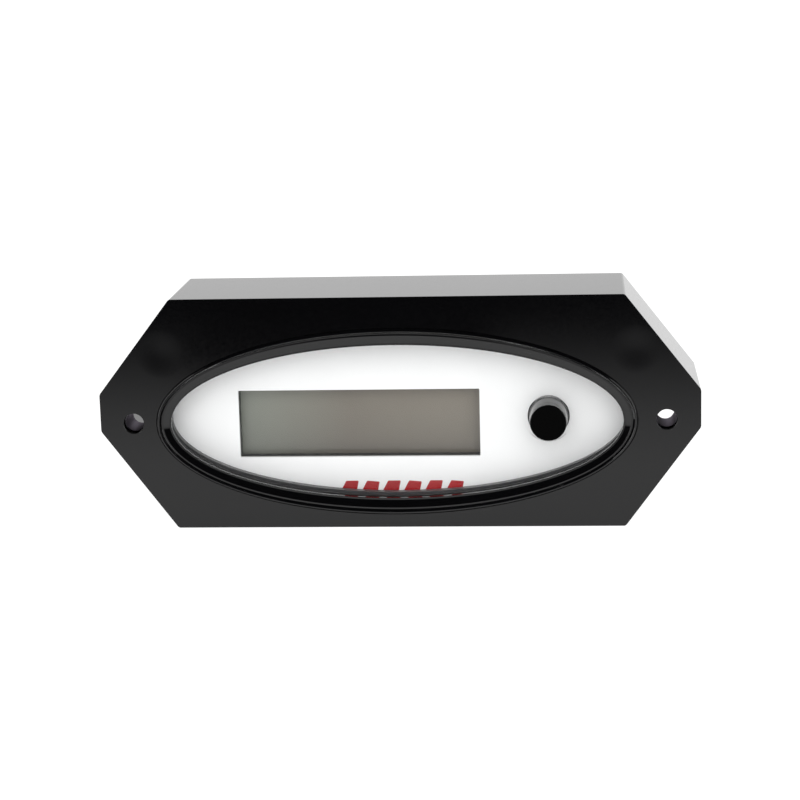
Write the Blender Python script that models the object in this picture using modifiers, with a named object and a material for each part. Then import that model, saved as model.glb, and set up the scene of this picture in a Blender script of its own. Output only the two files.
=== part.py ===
"""Motorcycle instrument cluster with an oval display window, a press button and two mounting holes.

X runs to the viewer's right, Y runs from the front face to the back, Z is up. The case stands on its
lower wall, and the origin is at the bottom centre of its bounding box. Depths are counted from the
flat front face of the case, positive towards the back.
"""

import math

import bmesh
import bpy
from mathutils import Matrix

MM = 0.001
FIT = 0.3 * MM  # gap left between touching pieces

# Outer case
CASE_WIDTH = 165.0 * MM
CASE_HEIGHT = 64.5 * MM
CASE_DEPTH = 35.5 * MM
FLAT_WIDTH = 124.0 * MM  # length of the straight top and bottom edges
SIDE_TOP = 38.1 * MM  # upper end of the short upright side
SIDE_BOTTOM = 27.65 * MM  # lower end of the short upright side
CASE_WALL = 2.4 * MM
FACE_PLATE = 2.6 * MM
CASE_CORNER = 0.5 * MM
CASE_EDGE = 0.4 * MM

# Display window, as the half width and half height of the hole in the bezel
WINDOW_X = -0.7 * MM
WINDOW_Z = 29.75 * MM
WINDOW_A = 62.3 * MM
WINDOW_B = 21.5 * MM
BEZEL_WIDTH = 3.9 * MM  # from the hole to the foot of the bezel
BEZEL_PROUD = 0.7 * MM
PLATE_A = 64.5 * MM  # lens, dial, carrier and board share this outline
PLATE_B = 24.7 * MM
CAN_WALL = 1.4 * MM

# Depths of the stack behind the window, front to back
GASKET_FRONT, GASKET_BACK = 2.9 * MM, 3.9 * MM
LENS_FRONT, LENS_BACK = 4.2 * MM, 6.2 * MM
SHROUD_FRONT, SHROUD_BACK = 6.5 * MM, 8.8 * MM
DIAL_FRONT, DIAL_BACK = 9.1 * MM, 10.1 * MM
FRAME_FRONT, FRAME_BACK = 10.4 * MM, 17.9 * MM
CELL_FRONT, CELL_BACK = 13.6 * MM, 15.6 * MM
BACKLIGHT_FRONT, BACKLIGHT_BACK = 15.9 * MM, 17.9 * MM
CARRIER_FRONT, CARRIER_BACK = 10.4 * MM, 17.9 * MM
BOARD_FRONT, BOARD_BACK = 18.2 * MM, 19.8 * MM
CAN_FRONT, CAN_BACK = 2.9 * MM, 27.0 * MM
COVER_SEAL_FRONT, COVER_SEAL_BACK = 27.3 * MM, 28.3 * MM
COVER_FRONT, COVER_BACK = 28.6 * MM, 30.8 * MM

# Liquid crystal display
LCD_X = -11.6 * MM
LCD_Z = 27.4 * MM
LCD_WIDTH = 67.3 * MM
LCD_HEIGHT = 19.1 * MM
FRAME_WIDTH = 74.0 * MM
FRAME_HEIGHT = 27.0 * MM
CELL_WIDTH = 71.2 * MM
CELL_HEIGHT = 24.2 * MM

# Push button
BUTTON_X = 41.1 * MM
BUTTON_Z = 29.2 * MM
BUTTON_RADIUS = 5.25 * MM
BUTTON_PROUD = 0.5 * MM
BUTTON_LENGTH = 7.9 * MM
STEM_BACK = 14.0 * MM
GUIDE_SEAT = 12.6 * MM  # depth of the floor that the return spring pushes on
BUTTON_TRAVEL = 1.2 * MM
PLUNGER_TRAVEL = BUTTON_TRAVEL - 0.2 * MM
COLLAR_RADIUS = 6.05 * MM
STEM_RADIUS = 2.0 * MM

# Mounting holes
HOLE_X = 73.25 * MM
HOLE_Z = 29.85 * MM
HOLE_RADIUS = 2.85 * MM
SLEEVE_BORE = 2.55 * MM
SLEEVE_RADIUS = 3.8 * MM
BOSS_RADIUS = 5.5 * MM
BOSS_BACK = 12.3 * MM

# Screws that hold the cover and the inner can to the case
COVER_SCREW_X = 47.0 * MM
COVER_SCREW_Z = 22.6 * MM
EAR_RADIUS = 4.2 * MM
CASE_BOSS_RADIUS = 3.2 * MM
CASE_BOSS_BACK = 11.8 * MM
CAN_EAR_FRONT = 12.1 * MM

# Harness socket
SOCKET_X = 29.0 * MM
SOCKET_Z = 28.0 * MM
SOCKET_WIDTH = 24.0 * MM
SOCKET_HEIGHT = 11.0 * MM
SOCKET_BACK = 35.3 * MM
SOCKET_FLOOR = 25.0 * MM
SOCKET_WALL = 1.3 * MM
PIN_BACK = 30.8 * MM

FACE_Y = (BEZEL_PROUD - CASE_DEPTH) / 2
OVAL_SEGMENTS = 72


def clear_scene():
    for obj in list(bpy.data.objects):
        bpy.data.objects.remove(obj, do_unlink=True)


def new_collection(name):
    collection = bpy.data.collections.new(name)
    bpy.context.scene.collection.children.link(collection)
    return collection


clear_scene()
PARTS = new_collection("instrument_cluster")
CUTTERS = new_collection("cutters")
ROOT = bpy.data.objects.new("cluster_frame", None)
ROOT.location = (0, FACE_Y, 0)
PARTS.objects.link(ROOT)


def linear(value):
    return value / 12.92 if value <= 0.04045 else ((value + 0.055) / 1.055) ** 2.4


def finish(name, colour, roughness, metallic=0.0):
    """A Principled material from an sRGB hex colour."""
    material = bpy.data.materials.new(name)
    material.use_nodes = True
    shader = material.node_tree.nodes["Principled BSDF"]
    rgb = [linear(int(colour[i : i + 2], 16) / 255) for i in (0, 2, 4)]
    shader.inputs["Base Color"].default_value = (*rgb, 1.0)
    shader.inputs["Roughness"].default_value = roughness
    shader.inputs["Metallic"].default_value = metallic
    return material


def add_part(name, mesh, material, x=0.0, depth=0.0, z=0.0):
    """Places a mesh as a named part; depth is counted from the front face."""
    obj = bpy.data.objects.new(name, mesh)
    PARTS.objects.link(obj)
    obj.parent = ROOT
    obj.location = (x, depth, z)
    if material:
        mesh.materials.clear()
        mesh.materials.append(material)
    return obj


def add_tool(mesh, x=0.0, depth=0.0, z=0.0):
    """A helper for a Boolean, kept out of the finished object."""
    obj = bpy.data.objects.new("tool", mesh)
    CUTTERS.objects.link(obj)
    obj.parent = ROOT
    obj.location = (x, depth, z)
    obj.hide_render = True
    obj.display_type = "WIRE"
    return obj


def boolean(obj, operation, *tools):
    for tool in tools:
        modifier = obj.modifiers.new(operation.lower(), "BOOLEAN")
        modifier.operation = operation
        modifier.solver = "EXACT"
        modifier.object = tool


def cut(obj, *tools):
    boolean(obj, "DIFFERENCE", *tools)


def join(obj, *tools):
    boolean(obj, "UNION", *tools)


def bevel(obj, width, segments=2, angle=40):
    modifier = obj.modifiers.new("edges", "BEVEL")
    modifier.width = width
    modifier.segments = segments
    modifier.limit_method = "ANGLE"
    modifier.angle_limit = math.radians(angle)


def mesh_from(bm, name):
    mesh = bpy.data.meshes.new(name)
    bm.normal_update()
    bm.to_mesh(mesh)
    bm.free()
    return mesh


def smooth(mesh, angle=35):
    mesh.shade_smooth()
    mesh.set_sharp_from_angle(angle=math.radians(angle))
    return mesh


def box_mesh(width, front, back, height, name="box"):
    """A box centred on X and Z, from one depth to another."""
    bm = bmesh.new()
    bmesh.ops.create_cube(bm, size=1.0)
    bmesh.ops.scale(bm, vec=(width, back - front, height), verts=bm.verts)
    bmesh.ops.translate(bm, vec=(0, (front + back) / 2, 0), verts=bm.verts)
    return mesh_from(bm, name)


def round_mesh(front_radius, back_radius, front, back, segments=32, name="round"):
    """A cylinder or cone along Y, from one depth to another."""
    bm = bmesh.new()
    bmesh.ops.create_cone(
        bm,
        cap_ends=True,
        segments=segments,
        radius1=back_radius,
        radius2=front_radius,
        depth=back - front,
    )
    bmesh.ops.rotate(bm, matrix=Matrix.Rotation(math.radians(90), 3, "X"), verts=bm.verts)
    bmesh.ops.translate(bm, vec=(0, (front + back) / 2, 0), verts=bm.verts)
    return smooth(mesh_from(bm, name))


def disc_mesh(radius, front, back, segments=32, name="disc"):
    return round_mesh(radius, radius, front, back, segments, name)


def oval_mesh(half_width, half_height, front, back, name="oval"):
    """An elliptical plate, stretched from a cylinder of radius one."""
    bm = bmesh.new()
    bmesh.ops.create_cone(
        bm,
        cap_ends=True,
        segments=OVAL_SEGMENTS,
        radius1=1.0,
        radius2=1.0,
        depth=back - front,
    )
    bmesh.ops.rotate(bm, matrix=Matrix.Rotation(math.radians(90), 3, "X"), verts=bm.verts)
    bmesh.ops.scale(bm, vec=(half_width, 1.0, half_height), verts=bm.verts)
    bmesh.ops.translate(bm, vec=(0, (front + back) / 2, 0), verts=bm.verts)
    return smooth(mesh_from(bm, name))


def ring_loft(sections, name="ring"):
    """A closed ring lofted through ellipses, each given as (half width, half height, depth)."""
    bm = bmesh.new()
    loops = []
    for half_width, half_height, depth in sections:
        loop = []
        for i in range(OVAL_SEGMENTS):
            turn = 2 * math.pi * i / OVAL_SEGMENTS
            loop.append(bm.verts.new((half_width * math.cos(turn), depth, half_height * math.sin(turn))))
        loops.append(loop)
    for loop, after in zip(loops, loops[1:] + loops[:1]):
        for i in range(OVAL_SEGMENTS):
            j = (i + 1) % OVAL_SEGMENTS
            bm.faces.new((loop[i], loop[j], after[j], after[i]))
    bmesh.ops.recalc_face_normals(bm, faces=bm.faces)
    return smooth(mesh_from(bm, name))


def oval_ring_mesh(outer, inner, front, back, name="ring"):
    """A plain elliptical ring of rectangular section; outer and inner are (half width, half height)."""
    corners = [(*outer, front), (*inner, front), (*inner, back), (*outer, back)]
    return ring_loft(corners, name)


def rounded_outline(corners, radius, steps=4):
    """Points of a polygon whose corners are replaced by arcs; corners run anticlockwise."""
    points = []
    count = len(corners)
    for i, (x, z) in enumerate(corners):
        before = corners[i - 1]
        after = corners[(i + 1) % count]
        a_in = math.atan2(z - before[1], x - before[0])
        a_out = math.atan2(after[1] - z, after[0] - x)
        turn = (a_out - a_in) % (2 * math.pi)
        reach = radius * math.tan(turn / 2)
        start_x = x - reach * math.cos(a_in)
        start_z = z - reach * math.sin(a_in)
        centre_x = start_x - radius * math.sin(a_in)
        centre_z = start_z + radius * math.cos(a_in)
        for step in range(steps + 1):
            angle = a_in - math.pi / 2 + turn * step / steps
            points.append((centre_x + radius * math.cos(angle), centre_z + radius * math.sin(angle)))
    return points


def prism_mesh(points, front, back, name="prism"):
    """A flat outline in X and Z, extruded along Y, made from a filled curve."""
    curve = bpy.data.curves.new(name, "CURVE")
    curve.dimensions = "2D"
    curve.fill_mode = "BOTH"
    curve.extrude = (back - front) / 2
    spline = curve.splines.new("POLY")
    spline.points.add(len(points) - 1)
    for point, (x, z) in zip(spline.points, points):
        point.co = (x, z, 0, 1)
    spline.use_cyclic_u = True
    holder = bpy.data.objects.new(name, curve)
    bpy.context.scene.collection.objects.link(holder)
    bpy.context.view_layer.update()
    graph = bpy.context.evaluated_depsgraph_get()
    mesh = bpy.data.meshes.new_from_object(holder.evaluated_get(graph))
    bpy.data.objects.remove(holder, do_unlink=True)
    bm = bmesh.new()
    bm.from_mesh(mesh)
    bmesh.ops.remove_doubles(bm, verts=bm.verts, dist=1e-6)
    bmesh.ops.rotate(bm, matrix=Matrix.Rotation(math.radians(90), 3, "X"), verts=bm.verts)
    bmesh.ops.translate(bm, vec=(0, (front + back) / 2, 0), verts=bm.verts)
    bmesh.ops.recalc_face_normals(bm, faces=bm.faces)
    bm.to_mesh(mesh)
    bm.free()
    return mesh


def case_corners(inset):
    """The eight corners of the case outline, moved inwards by a wall thickness."""
    half_flat = FLAT_WIDTH / 2
    half_width = CASE_WIDTH / 2
    upper = math.atan2(CASE_HEIGHT - SIDE_TOP, half_width - half_flat)
    lower = math.atan2(SIDE_BOTTOM, half_width - half_flat)
    flat_top = half_flat - inset * math.tan(upper / 2)
    flat_bottom = half_flat - inset * math.tan(lower / 2)
    side = half_width - inset
    top = SIDE_TOP - inset * math.tan((math.pi / 2 - upper) / 2)
    bottom = SIDE_BOTTOM + inset * math.tan((math.pi / 2 - lower) / 2)
    right = [
        (flat_bottom, inset),
        (side, bottom),
        (side, top),
        (flat_top, CASE_HEIGHT - inset),
    ]
    left = [(-x, z) for x, z in reversed(right)]
    return right + left


def cover_screw_places():
    for number, (sx, sz) in enumerate(((-1, 1), (1, 1), (-1, -1), (1, -1)), 1):
        yield number, WINDOW_X + sx * COVER_SCREW_X, WINDOW_Z + sz * COVER_SCREW_Z


def board_screw_places():
    places = ((-56.5, 0.0), (56.5, 0.0), (-4.0, 19.6), (-4.0, -20.3))
    for number, (x, z) in enumerate(places, 1):
        yield number, WINDOW_X + x * MM, WINDOW_Z + z * MM


def screw_mesh(head_radius, head_height, shank_radius, shank_length, name):
    """A pan head screw: the head lies behind depth zero, the shank runs forward from it."""
    bm = bmesh.new()
    profile = [
        (0.0, head_height),
        (0.62 * head_radius, head_height),
        (0.92 * head_radius, 0.72 * head_height),
        (head_radius, 0.35 * head_height),
        (head_radius, 0.0),
        (shank_radius, 0.0),
        (shank_radius, -shank_length + shank_radius * 0.6),
        (0.35 * shank_radius, -shank_length),
        (0.0, -shank_length),
    ]
    verts = [bm.verts.new((radius, depth, 0)) for radius, depth in profile]
    for first, second in zip(verts, verts[1:]):
        bm.edges.new((first, second))
    bmesh.ops.spin(
        bm,
        geom=bm.verts[:] + bm.edges[:],
        axis=(0, 1, 0),
        cent=(0, 0, 0),
        angle=2 * math.pi,
        steps=16,
        use_merge=True,
    )
    bmesh.ops.remove_doubles(bm, verts=bm.verts, dist=1e-6)
    bmesh.ops.recalc_face_normals(bm, faces=bm.faces)
    return smooth(mesh_from(bm, name))


def screw(name, mesh, head_radius, head_height, x, depth, z, material):
    """One screw with its cross recess."""
    obj = add_part(name, mesh, material, x, depth, z)
    slot = head_radius * 0.28
    reach = head_radius * 1.1
    floor = head_height * 0.45
    wide = add_tool(box_mesh(reach, floor, head_height * 1.5, slot), x, depth, z)
    tall = add_tool(box_mesh(slot, floor, head_height * 1.5, reach), x, depth, z)
    cut(obj, wide, tall)
    return obj


def make_outer_case():
    """Moulded octagonal shell, open at the back, with bosses and a rebate for the bezel."""
    black = finish("case_black", "0B0B0C", 0.25)
    outline = rounded_outline(case_corners(0), CASE_CORNER)
    shell = prism_mesh(outline, 0, CASE_DEPTH, "outer_case")
    case = add_part("outer_case", shell, black)
    bevel(case, CASE_EDGE)
    hollow = rounded_outline(case_corners(CASE_WALL), CASE_CORNER / 2)
    cut(case, add_tool(prism_mesh(hollow, FACE_PLATE, CASE_DEPTH * 1.2)))
    for side in (-1, 1):
        boss = disc_mesh(BOSS_RADIUS, FACE_PLATE - 0.8 * MM, BOSS_BACK, 40)
        rib = box_mesh(CASE_WIDTH / 2 - HOLE_X, FACE_PLATE - 0.8 * MM, 9 * MM, 1.6 * MM)
        rib_x = side * (HOLE_X + CASE_WIDTH / 2 - 1.2 * MM) / 2
        join(case, add_tool(boss, side * HOLE_X, 0, HOLE_Z))
        join(case, add_tool(rib, rib_x + side * 0.4 * MM, 0, HOLE_Z))
    for _, x, z in cover_screw_places():
        join(case, add_tool(disc_mesh(CASE_BOSS_RADIUS, FACE_PLATE - 0.8 * MM, CASE_BOSS_BACK, 24), x, 0, z))
        cut(case, add_tool(disc_mesh(1.75 * MM, 4 * MM, CASE_BOSS_BACK * 1.2, 20), x, 0, z))
    rebate_a = WINDOW_A + BEZEL_WIDTH + FIT
    rebate_b = WINDOW_B + BEZEL_WIDTH + 0.7 * MM + FIT
    rebate = oval_mesh(rebate_a, rebate_b, -2 * MM, 1.2 * MM)
    aperture = oval_mesh(PLATE_A + FIT, PLATE_B, -2 * MM, FACE_PLATE * 2)
    cut(case, add_tool(rebate, WINDOW_X, 0, WINDOW_Z), add_tool(aperture, WINDOW_X, 0, WINDOW_Z))
    for side in (-1, 1):
        front = disc_mesh(HOLE_RADIUS, -2 * MM, FACE_PLATE * 2, 40)
        pocket = disc_mesh(SLEEVE_RADIUS + FIT, 2.1 * MM, BOSS_BACK * 1.2, 40)
        cut(case, add_tool(front, side * HOLE_X, 0, HOLE_Z), add_tool(pocket, side * HOLE_X, 0, HOLE_Z))


def make_mounting_sleeves():
    """Steel tubes that take the clamping load of the mounting bolts."""
    zinc = finish("sleeve_zinc", "8E8C8E", 0.35, 1.0)
    for name, side in (("mounting_sleeve_left", -1), ("mounting_sleeve_right", 1)):
        tube = disc_mesh(SLEEVE_RADIUS, 2.4 * MM, BOSS_BACK + FIT, 40, name)
        sleeve = add_part(name, tube, zinc, side * HOLE_X, 0, HOLE_Z)
        cut(sleeve, add_tool(disc_mesh(SLEEVE_BORE, 0, BOSS_BACK * 1.3, 40), side * HOLE_X, 0, HOLE_Z))


def make_bezel_ring():
    """Raised oval ring: rounded crest, steep inner flank, sloping inner band and a small lip."""
    black = finish("bezel_black", "09090A", 0.12)
    foot = BEZEL_WIDTH
    tall = 0.7 * MM  # the ring is this much wider above and below than at its ends

    def section(share, extra, depth):
        return (WINDOW_A + share * foot, WINDOW_B + share * foot + extra * tall, depth * MM)

    sections = [
        section(1.00, 1.0, 0.9),
        section(1.00, 1.0, -0.1),
        section(0.94, 1.0, -0.5),
        section(0.84, 1.0, -BEZEL_PROUD / MM),
        section(0.70, 1.0, -0.5),
        section(0.55, 1.0, 0.1),
        section(0.48, 1.0, 0.4),
        section(0.17, 0.1, 1.4),
        section(0.06, 0.0, 1.5),
        section(0.0, 0.0, 1.8),
        section(0.0, 0.0, 2.3),
        (PLATE_A, PLATE_B - FIT, 2.3 * MM),
        (PLATE_A, PLATE_B - FIT, 0.9 * MM),
    ]
    add_part("bezel_ring", ring_loft(sections, "bezel_ring"), black, WINDOW_X, 0, WINDOW_Z)


def make_window():
    """Clear lens with its gasket, and the oval shroud between lens and dial."""
    rubber = finish("gasket_rubber", "141414", 0.8)
    clear = finish("lens_clear", "F2F4F4", 0.03)
    shroud_grey = finish("shroud_grey", "444446", 0.3)
    gasket = oval_ring_mesh(
        (PLATE_A - 0.3 * MM, PLATE_B - 0.3 * MM),
        (WINDOW_A + 0.5 * MM, WINDOW_B + 0.5 * MM),
        GASKET_FRONT,
        GASKET_BACK,
        "lens_gasket",
    )
    add_part("lens_gasket", gasket, rubber, WINDOW_X, 0, WINDOW_Z)
    plate = oval_mesh(PLATE_A, PLATE_B, LENS_FRONT, LENS_BACK, "window_lens")
    lens = add_part("window_lens", plate, clear, WINDOW_X, 0, WINDOW_Z)
    hole = disc_mesh(COLLAR_RADIUS + FIT, LENS_FRONT - MM, LENS_BACK + MM)
    cut(lens, add_tool(hole, BUTTON_X, 0, BUTTON_Z))
    shroud = oval_ring_mesh(
        (PLATE_A, PLATE_B),
        (WINDOW_A + 0.8 * MM, WINDOW_B + 0.3 * MM),
        SHROUD_FRONT,
        SHROUD_BACK,
        "dial_shroud",
    )
    add_part("dial_shroud", shroud, shroud_grey, WINDOW_X, 0, WINDOW_Z)


def make_dial_plate():
    white = finish("dial_white", "ECECEC", 0.4)
    plate = oval_mesh(PLATE_A, PLATE_B, DIAL_FRONT, DIAL_BACK, "dial_plate")
    dial = add_part("dial_plate", plate, white, WINDOW_X, 0, WINDOW_Z)
    window = box_mesh(LCD_WIDTH, DIAL_FRONT - MM, DIAL_BACK + MM, LCD_HEIGHT)
    passage = disc_mesh(4.4 * MM, DIAL_FRONT - MM, DIAL_BACK + MM)
    cut(dial, add_tool(window, LCD_X, 0, LCD_Z), add_tool(passage, BUTTON_X, 0, BUTTON_Z))


def make_button():
    """Round press cap on a stem, its fixed collar and its return spring."""
    black = finish("button_black", "0A0A0A", 0.18)
    front = -BUTTON_PROUD
    cap_back = front + BUTTON_LENGTH
    cap = add_part(
        "button_cap", disc_mesh(BUTTON_RADIUS, front, cap_back, 40, "button_cap"), black,
        BUTTON_X, 0, BUTTON_Z,
    )
    bevel(cap, 0.45 * MM, 2)
    stem = disc_mesh(STEM_RADIUS, cap_back - MM, STEM_BACK, 24)
    join(cap, add_tool(stem, BUTTON_X, 0, BUTTON_Z))

    collar_black = finish("collar_black", "0C0C0C", 0.2)
    collar_mesh = disc_mesh(COLLAR_RADIUS, LENS_BACK + FIT, DIAL_FRONT - FIT, 40, "button_collar")
    collar = add_part("button_collar", collar_mesh, collar_black, BUTTON_X, 0, BUTTON_Z)
    bore = disc_mesh(BUTTON_RADIUS + FIT, 0, DIAL_BACK, 40)
    cut(collar, add_tool(bore, BUTTON_X, 0, BUTTON_Z))

    steel = finish("spring_steel", "B5B5B5", 0.25, 1.0)
    spring_front = cap_back + 2 * FIT
    spring_back = GUIDE_SEAT - 2 * FIT
    curve = bpy.data.curves.new("button_spring", "CURVE")
    curve.dimensions = "3D"
    curve.bevel_depth = 0.28 * MM
    curve.bevel_resolution = 2
    curve.use_fill_caps = True
    turns, per_turn, mean_radius = 4, 10, 3.1 * MM
    count = turns * per_turn
    spline = curve.splines.new("POLY")
    spline.points.add(count)
    for i, point in enumerate(spline.points):
        angle = 2 * math.pi * i / per_turn
        depth = spring_front + (spring_back - spring_front) * i / count
        point.co = (mean_radius * math.cos(angle), depth, mean_radius * math.sin(angle), 1)
    add_part("button_spring", curve, steel, BUTTON_X, 0, BUTTON_Z)


def make_display():
    """Liquid crystal cell in its pressed frame, with backlight, contact strips and lamps."""
    dark = finish("frame_black", "16171A", 0.4, 0.6)
    frame_mesh = box_mesh(FRAME_WIDTH, FRAME_FRONT, FRAME_BACK, FRAME_HEIGHT, "lcd_frame")
    frame = add_part("lcd_frame", frame_mesh, dark, LCD_X, 0, LCD_Z)
    window = box_mesh(LCD_WIDTH, FRAME_FRONT - MM, FRAME_BACK, LCD_HEIGHT)
    pocket = box_mesh(CELL_WIDTH + 2 * FIT, CELL_FRONT - FIT, FRAME_BACK + MM, CELL_HEIGHT + 2 * FIT)
    cut(frame, add_tool(window, LCD_X, 0, LCD_Z), add_tool(pocket, LCD_X, 0, LCD_Z))

    glass = finish("cell_grey", "8B8C84", 0.1)
    cell = box_mesh(CELL_WIDTH, CELL_FRONT, CELL_BACK, CELL_HEIGHT, "lcd_cell")
    add_part("lcd_cell", cell, glass, LCD_X, 0, LCD_Z)
    diffuser = finish("diffuser_white", "E6E8E4", 0.5)
    light = box_mesh(64 * MM, BACKLIGHT_FRONT, BACKLIGHT_BACK, 16.4 * MM, "lcd_backlight")
    add_part("lcd_backlight", light, diffuser, LCD_X, 0, LCD_Z)
    zebra = finish("contact_rubber", "3A3330", 0.7)
    strip = box_mesh(60 * MM, BACKLIGHT_FRONT, BACKLIGHT_BACK, 2.2 * MM, "contact_strip")
    add_part("contact_strip_upper", strip, zebra, LCD_X, 0, LCD_Z + 10.4 * MM)
    add_part("contact_strip_lower", strip.copy(), zebra, LCD_X, 0, LCD_Z - 10.4 * MM)
    lamp = finish("lamp_white", "F4F1DC", 0.3)
    led = box_mesh(2.4 * MM, BACKLIGHT_FRONT + 0.4 * MM, BACKLIGHT_BACK, 3 * MM, "backlight_led")
    add_part("backlight_led_left", led, lamp, LCD_X - 33.7 * MM, 0, LCD_Z)
    add_part("backlight_led_right", led.copy(), lamp, LCD_X + 33.7 * MM, 0, LCD_Z)


def make_carrier():
    """Moulded tray that holds the dial, the display frame and the button guide."""
    grey = finish("carrier_white", "D8D8D4", 0.5)
    plate = oval_mesh(PLATE_A, PLATE_B, CARRIER_FRONT, CARRIER_BACK, "display_carrier")
    carrier = add_part("display_carrier", plate, grey, WINDOW_X, 0, WINDOW_Z)
    hollow = oval_mesh(PLATE_A - 1.6 * MM, PLATE_B - 1.6 * MM, CARRIER_FRONT + 1.8 * MM, CARRIER_BACK + MM)
    cut(carrier, add_tool(hollow, WINDOW_X, 0, WINDOW_Z))
    for _, x, z in board_screw_places():
        join(carrier, add_tool(disc_mesh(2.8 * MM, CARRIER_FRONT + MM, CARRIER_BACK, 24), x, 0, z))
        cut(carrier, add_tool(disc_mesh(1.45 * MM, CARRIER_FRONT + 2 * MM, CARRIER_BACK + MM, 20), x, 0, z))
    guide = disc_mesh(5.6 * MM, CARRIER_FRONT + MM, GUIDE_SEAT + 0.9 * MM, 32)
    seat = disc_mesh(4.4 * MM, CARRIER_FRONT - MM, GUIDE_SEAT, 32)
    passage = disc_mesh(STEM_RADIUS + FIT, CARRIER_FRONT, CARRIER_BACK, 24)
    join(carrier, add_tool(guide, BUTTON_X, 0, BUTTON_Z))
    cut(carrier, add_tool(seat, BUTTON_X, 0, BUTTON_Z), add_tool(passage, BUTTON_X, 0, BUTTON_Z))
    opening = box_mesh(
        FRAME_WIDTH + 2 * FIT, CARRIER_FRONT - MM, CARRIER_BACK + MM, FRAME_HEIGHT + 2 * FIT
    )
    cut(carrier, add_tool(opening, LCD_X, 0, LCD_Z))


def make_board():
    """Circuit board, its screws, the tact switch and the main components."""
    green = finish("board_green", "1E5A34", 0.45)
    plate = oval_mesh(PLATE_A, PLATE_B, BOARD_FRONT, BOARD_BACK, "circuit_board")
    board = add_part("circuit_board", plate, green, WINDOW_X, 0, WINDOW_Z)
    zinc = finish("screw_zinc", "A9A9AC", 0.3, 1.0)
    head_radius, head_height = 2.3 * MM, 1.5 * MM
    body = screw_mesh(head_radius, head_height, 1.1 * MM, 5.5 * MM, "board_screw")
    for number, x, z in board_screw_places():
        cut(board, add_tool(disc_mesh(1.45 * MM, BOARD_FRONT - MM, BOARD_BACK + MM, 20), x, 0, z))
        name = f"board_screw_{number}"
        screw(name, body.copy(), head_radius, head_height, x, BOARD_BACK + FIT, z, zinc)

    switch_dark = finish("switch_black", "1B1B1D", 0.45)
    switch_front, switch_back = 15.0 * MM, BOARD_FRONT - FIT
    well_floor = switch_back - 0.4 * MM
    switch_mesh = box_mesh(6 * MM, switch_front, switch_back, 6 * MM, "switch_body")
    switch = add_part("switch_body", switch_mesh, switch_dark, BUTTON_X, 0, BUTTON_Z)
    well = disc_mesh(1.75 * MM + FIT, switch_front - MM, well_floor, 24)
    cut(switch, add_tool(well, BUTTON_X, 0, BUTTON_Z))
    brown = finish("plunger_brown", "4A3226", 0.5)
    plunger_back = well_floor - PLUNGER_TRAVEL - 0.2 * MM
    plunger = disc_mesh(1.75 * MM, STEM_BACK + 0.35 * MM, plunger_back, 24, "switch_plunger")
    add_part("switch_plunger", plunger, brown, BUTTON_X, 0, BUTTON_Z)

    chip = finish("chip_black", "17181A", 0.5)
    rear = BOARD_BACK + FIT
    add_part(
        "microcontroller", box_mesh(14 * MM, rear, rear + 1.6 * MM, 14 * MM, "microcontroller"), chip,
        -12 * MM, 0, WINDOW_Z,
    )
    tin = finish("crystal_tin", "C4C4C6", 0.25, 1.0)
    crystal = box_mesh(11 * MM, rear, rear + 3.5 * MM, 4.6 * MM, "quartz_crystal")
    bevel(add_part("quartz_crystal", crystal, tin, -29 * MM, 0, WINDOW_Z + 6 * MM), 0.6 * MM, 2)
    regulator = box_mesh(6.6 * MM, rear, rear + 2.3 * MM, 6.2 * MM, "voltage_regulator")
    add_part("voltage_regulator", regulator, chip.copy(), -31 * MM, 0, WINDOW_Z - 7 * MM)
    can = finish("capacitor_can", "B9BBBE", 0.3, 1.0)
    for name, side in (("capacitor_upper", 1), ("capacitor_lower", -1)):
        body = disc_mesh(3.15 * MM, rear, rear + 5.8 * MM, 24, name)
        bevel(add_part(name, body, can, 6 * MM, 0, WINDOW_Z + side * 9 * MM), 0.4 * MM, 1)


def make_harness_socket():
    """Rectangular socket on the board, standing out through the rear cover, with six pins."""
    nylon = finish("socket_nylon", "202124", 0.5)
    rear = BOARD_BACK + FIT
    body = box_mesh(SOCKET_WIDTH, rear, SOCKET_BACK, SOCKET_HEIGHT, "harness_socket")
    socket = add_part("harness_socket", body, nylon, SOCKET_X, 0, SOCKET_Z)
    cavity = box_mesh(
        SOCKET_WIDTH - 2 * SOCKET_WALL, SOCKET_FLOOR, SOCKET_BACK + MM, SOCKET_HEIGHT - 2 * SOCKET_WALL
    )
    cut(socket, add_tool(cavity, SOCKET_X, 0, SOCKET_Z))
    brass = finish("pin_brass", "C9A24B", 0.3, 1.0)
    pin = disc_mesh(0.55 * MM, rear, PIN_BACK, 12, "terminal_pin")
    number = 1
    for row in (1, -1):
        for column in (-1, 0, 1):
            x = SOCKET_X + column * 6 * MM
            z = SOCKET_Z + row * 1.9 * MM
            cut(socket, add_tool(disc_mesh(0.85 * MM, rear - MM, SOCKET_FLOOR + MM, 12), x, 0, z))
            add_part(f"terminal_pin_{number}", pin.copy(), brass, x, 0, z)
            number += 1


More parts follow.
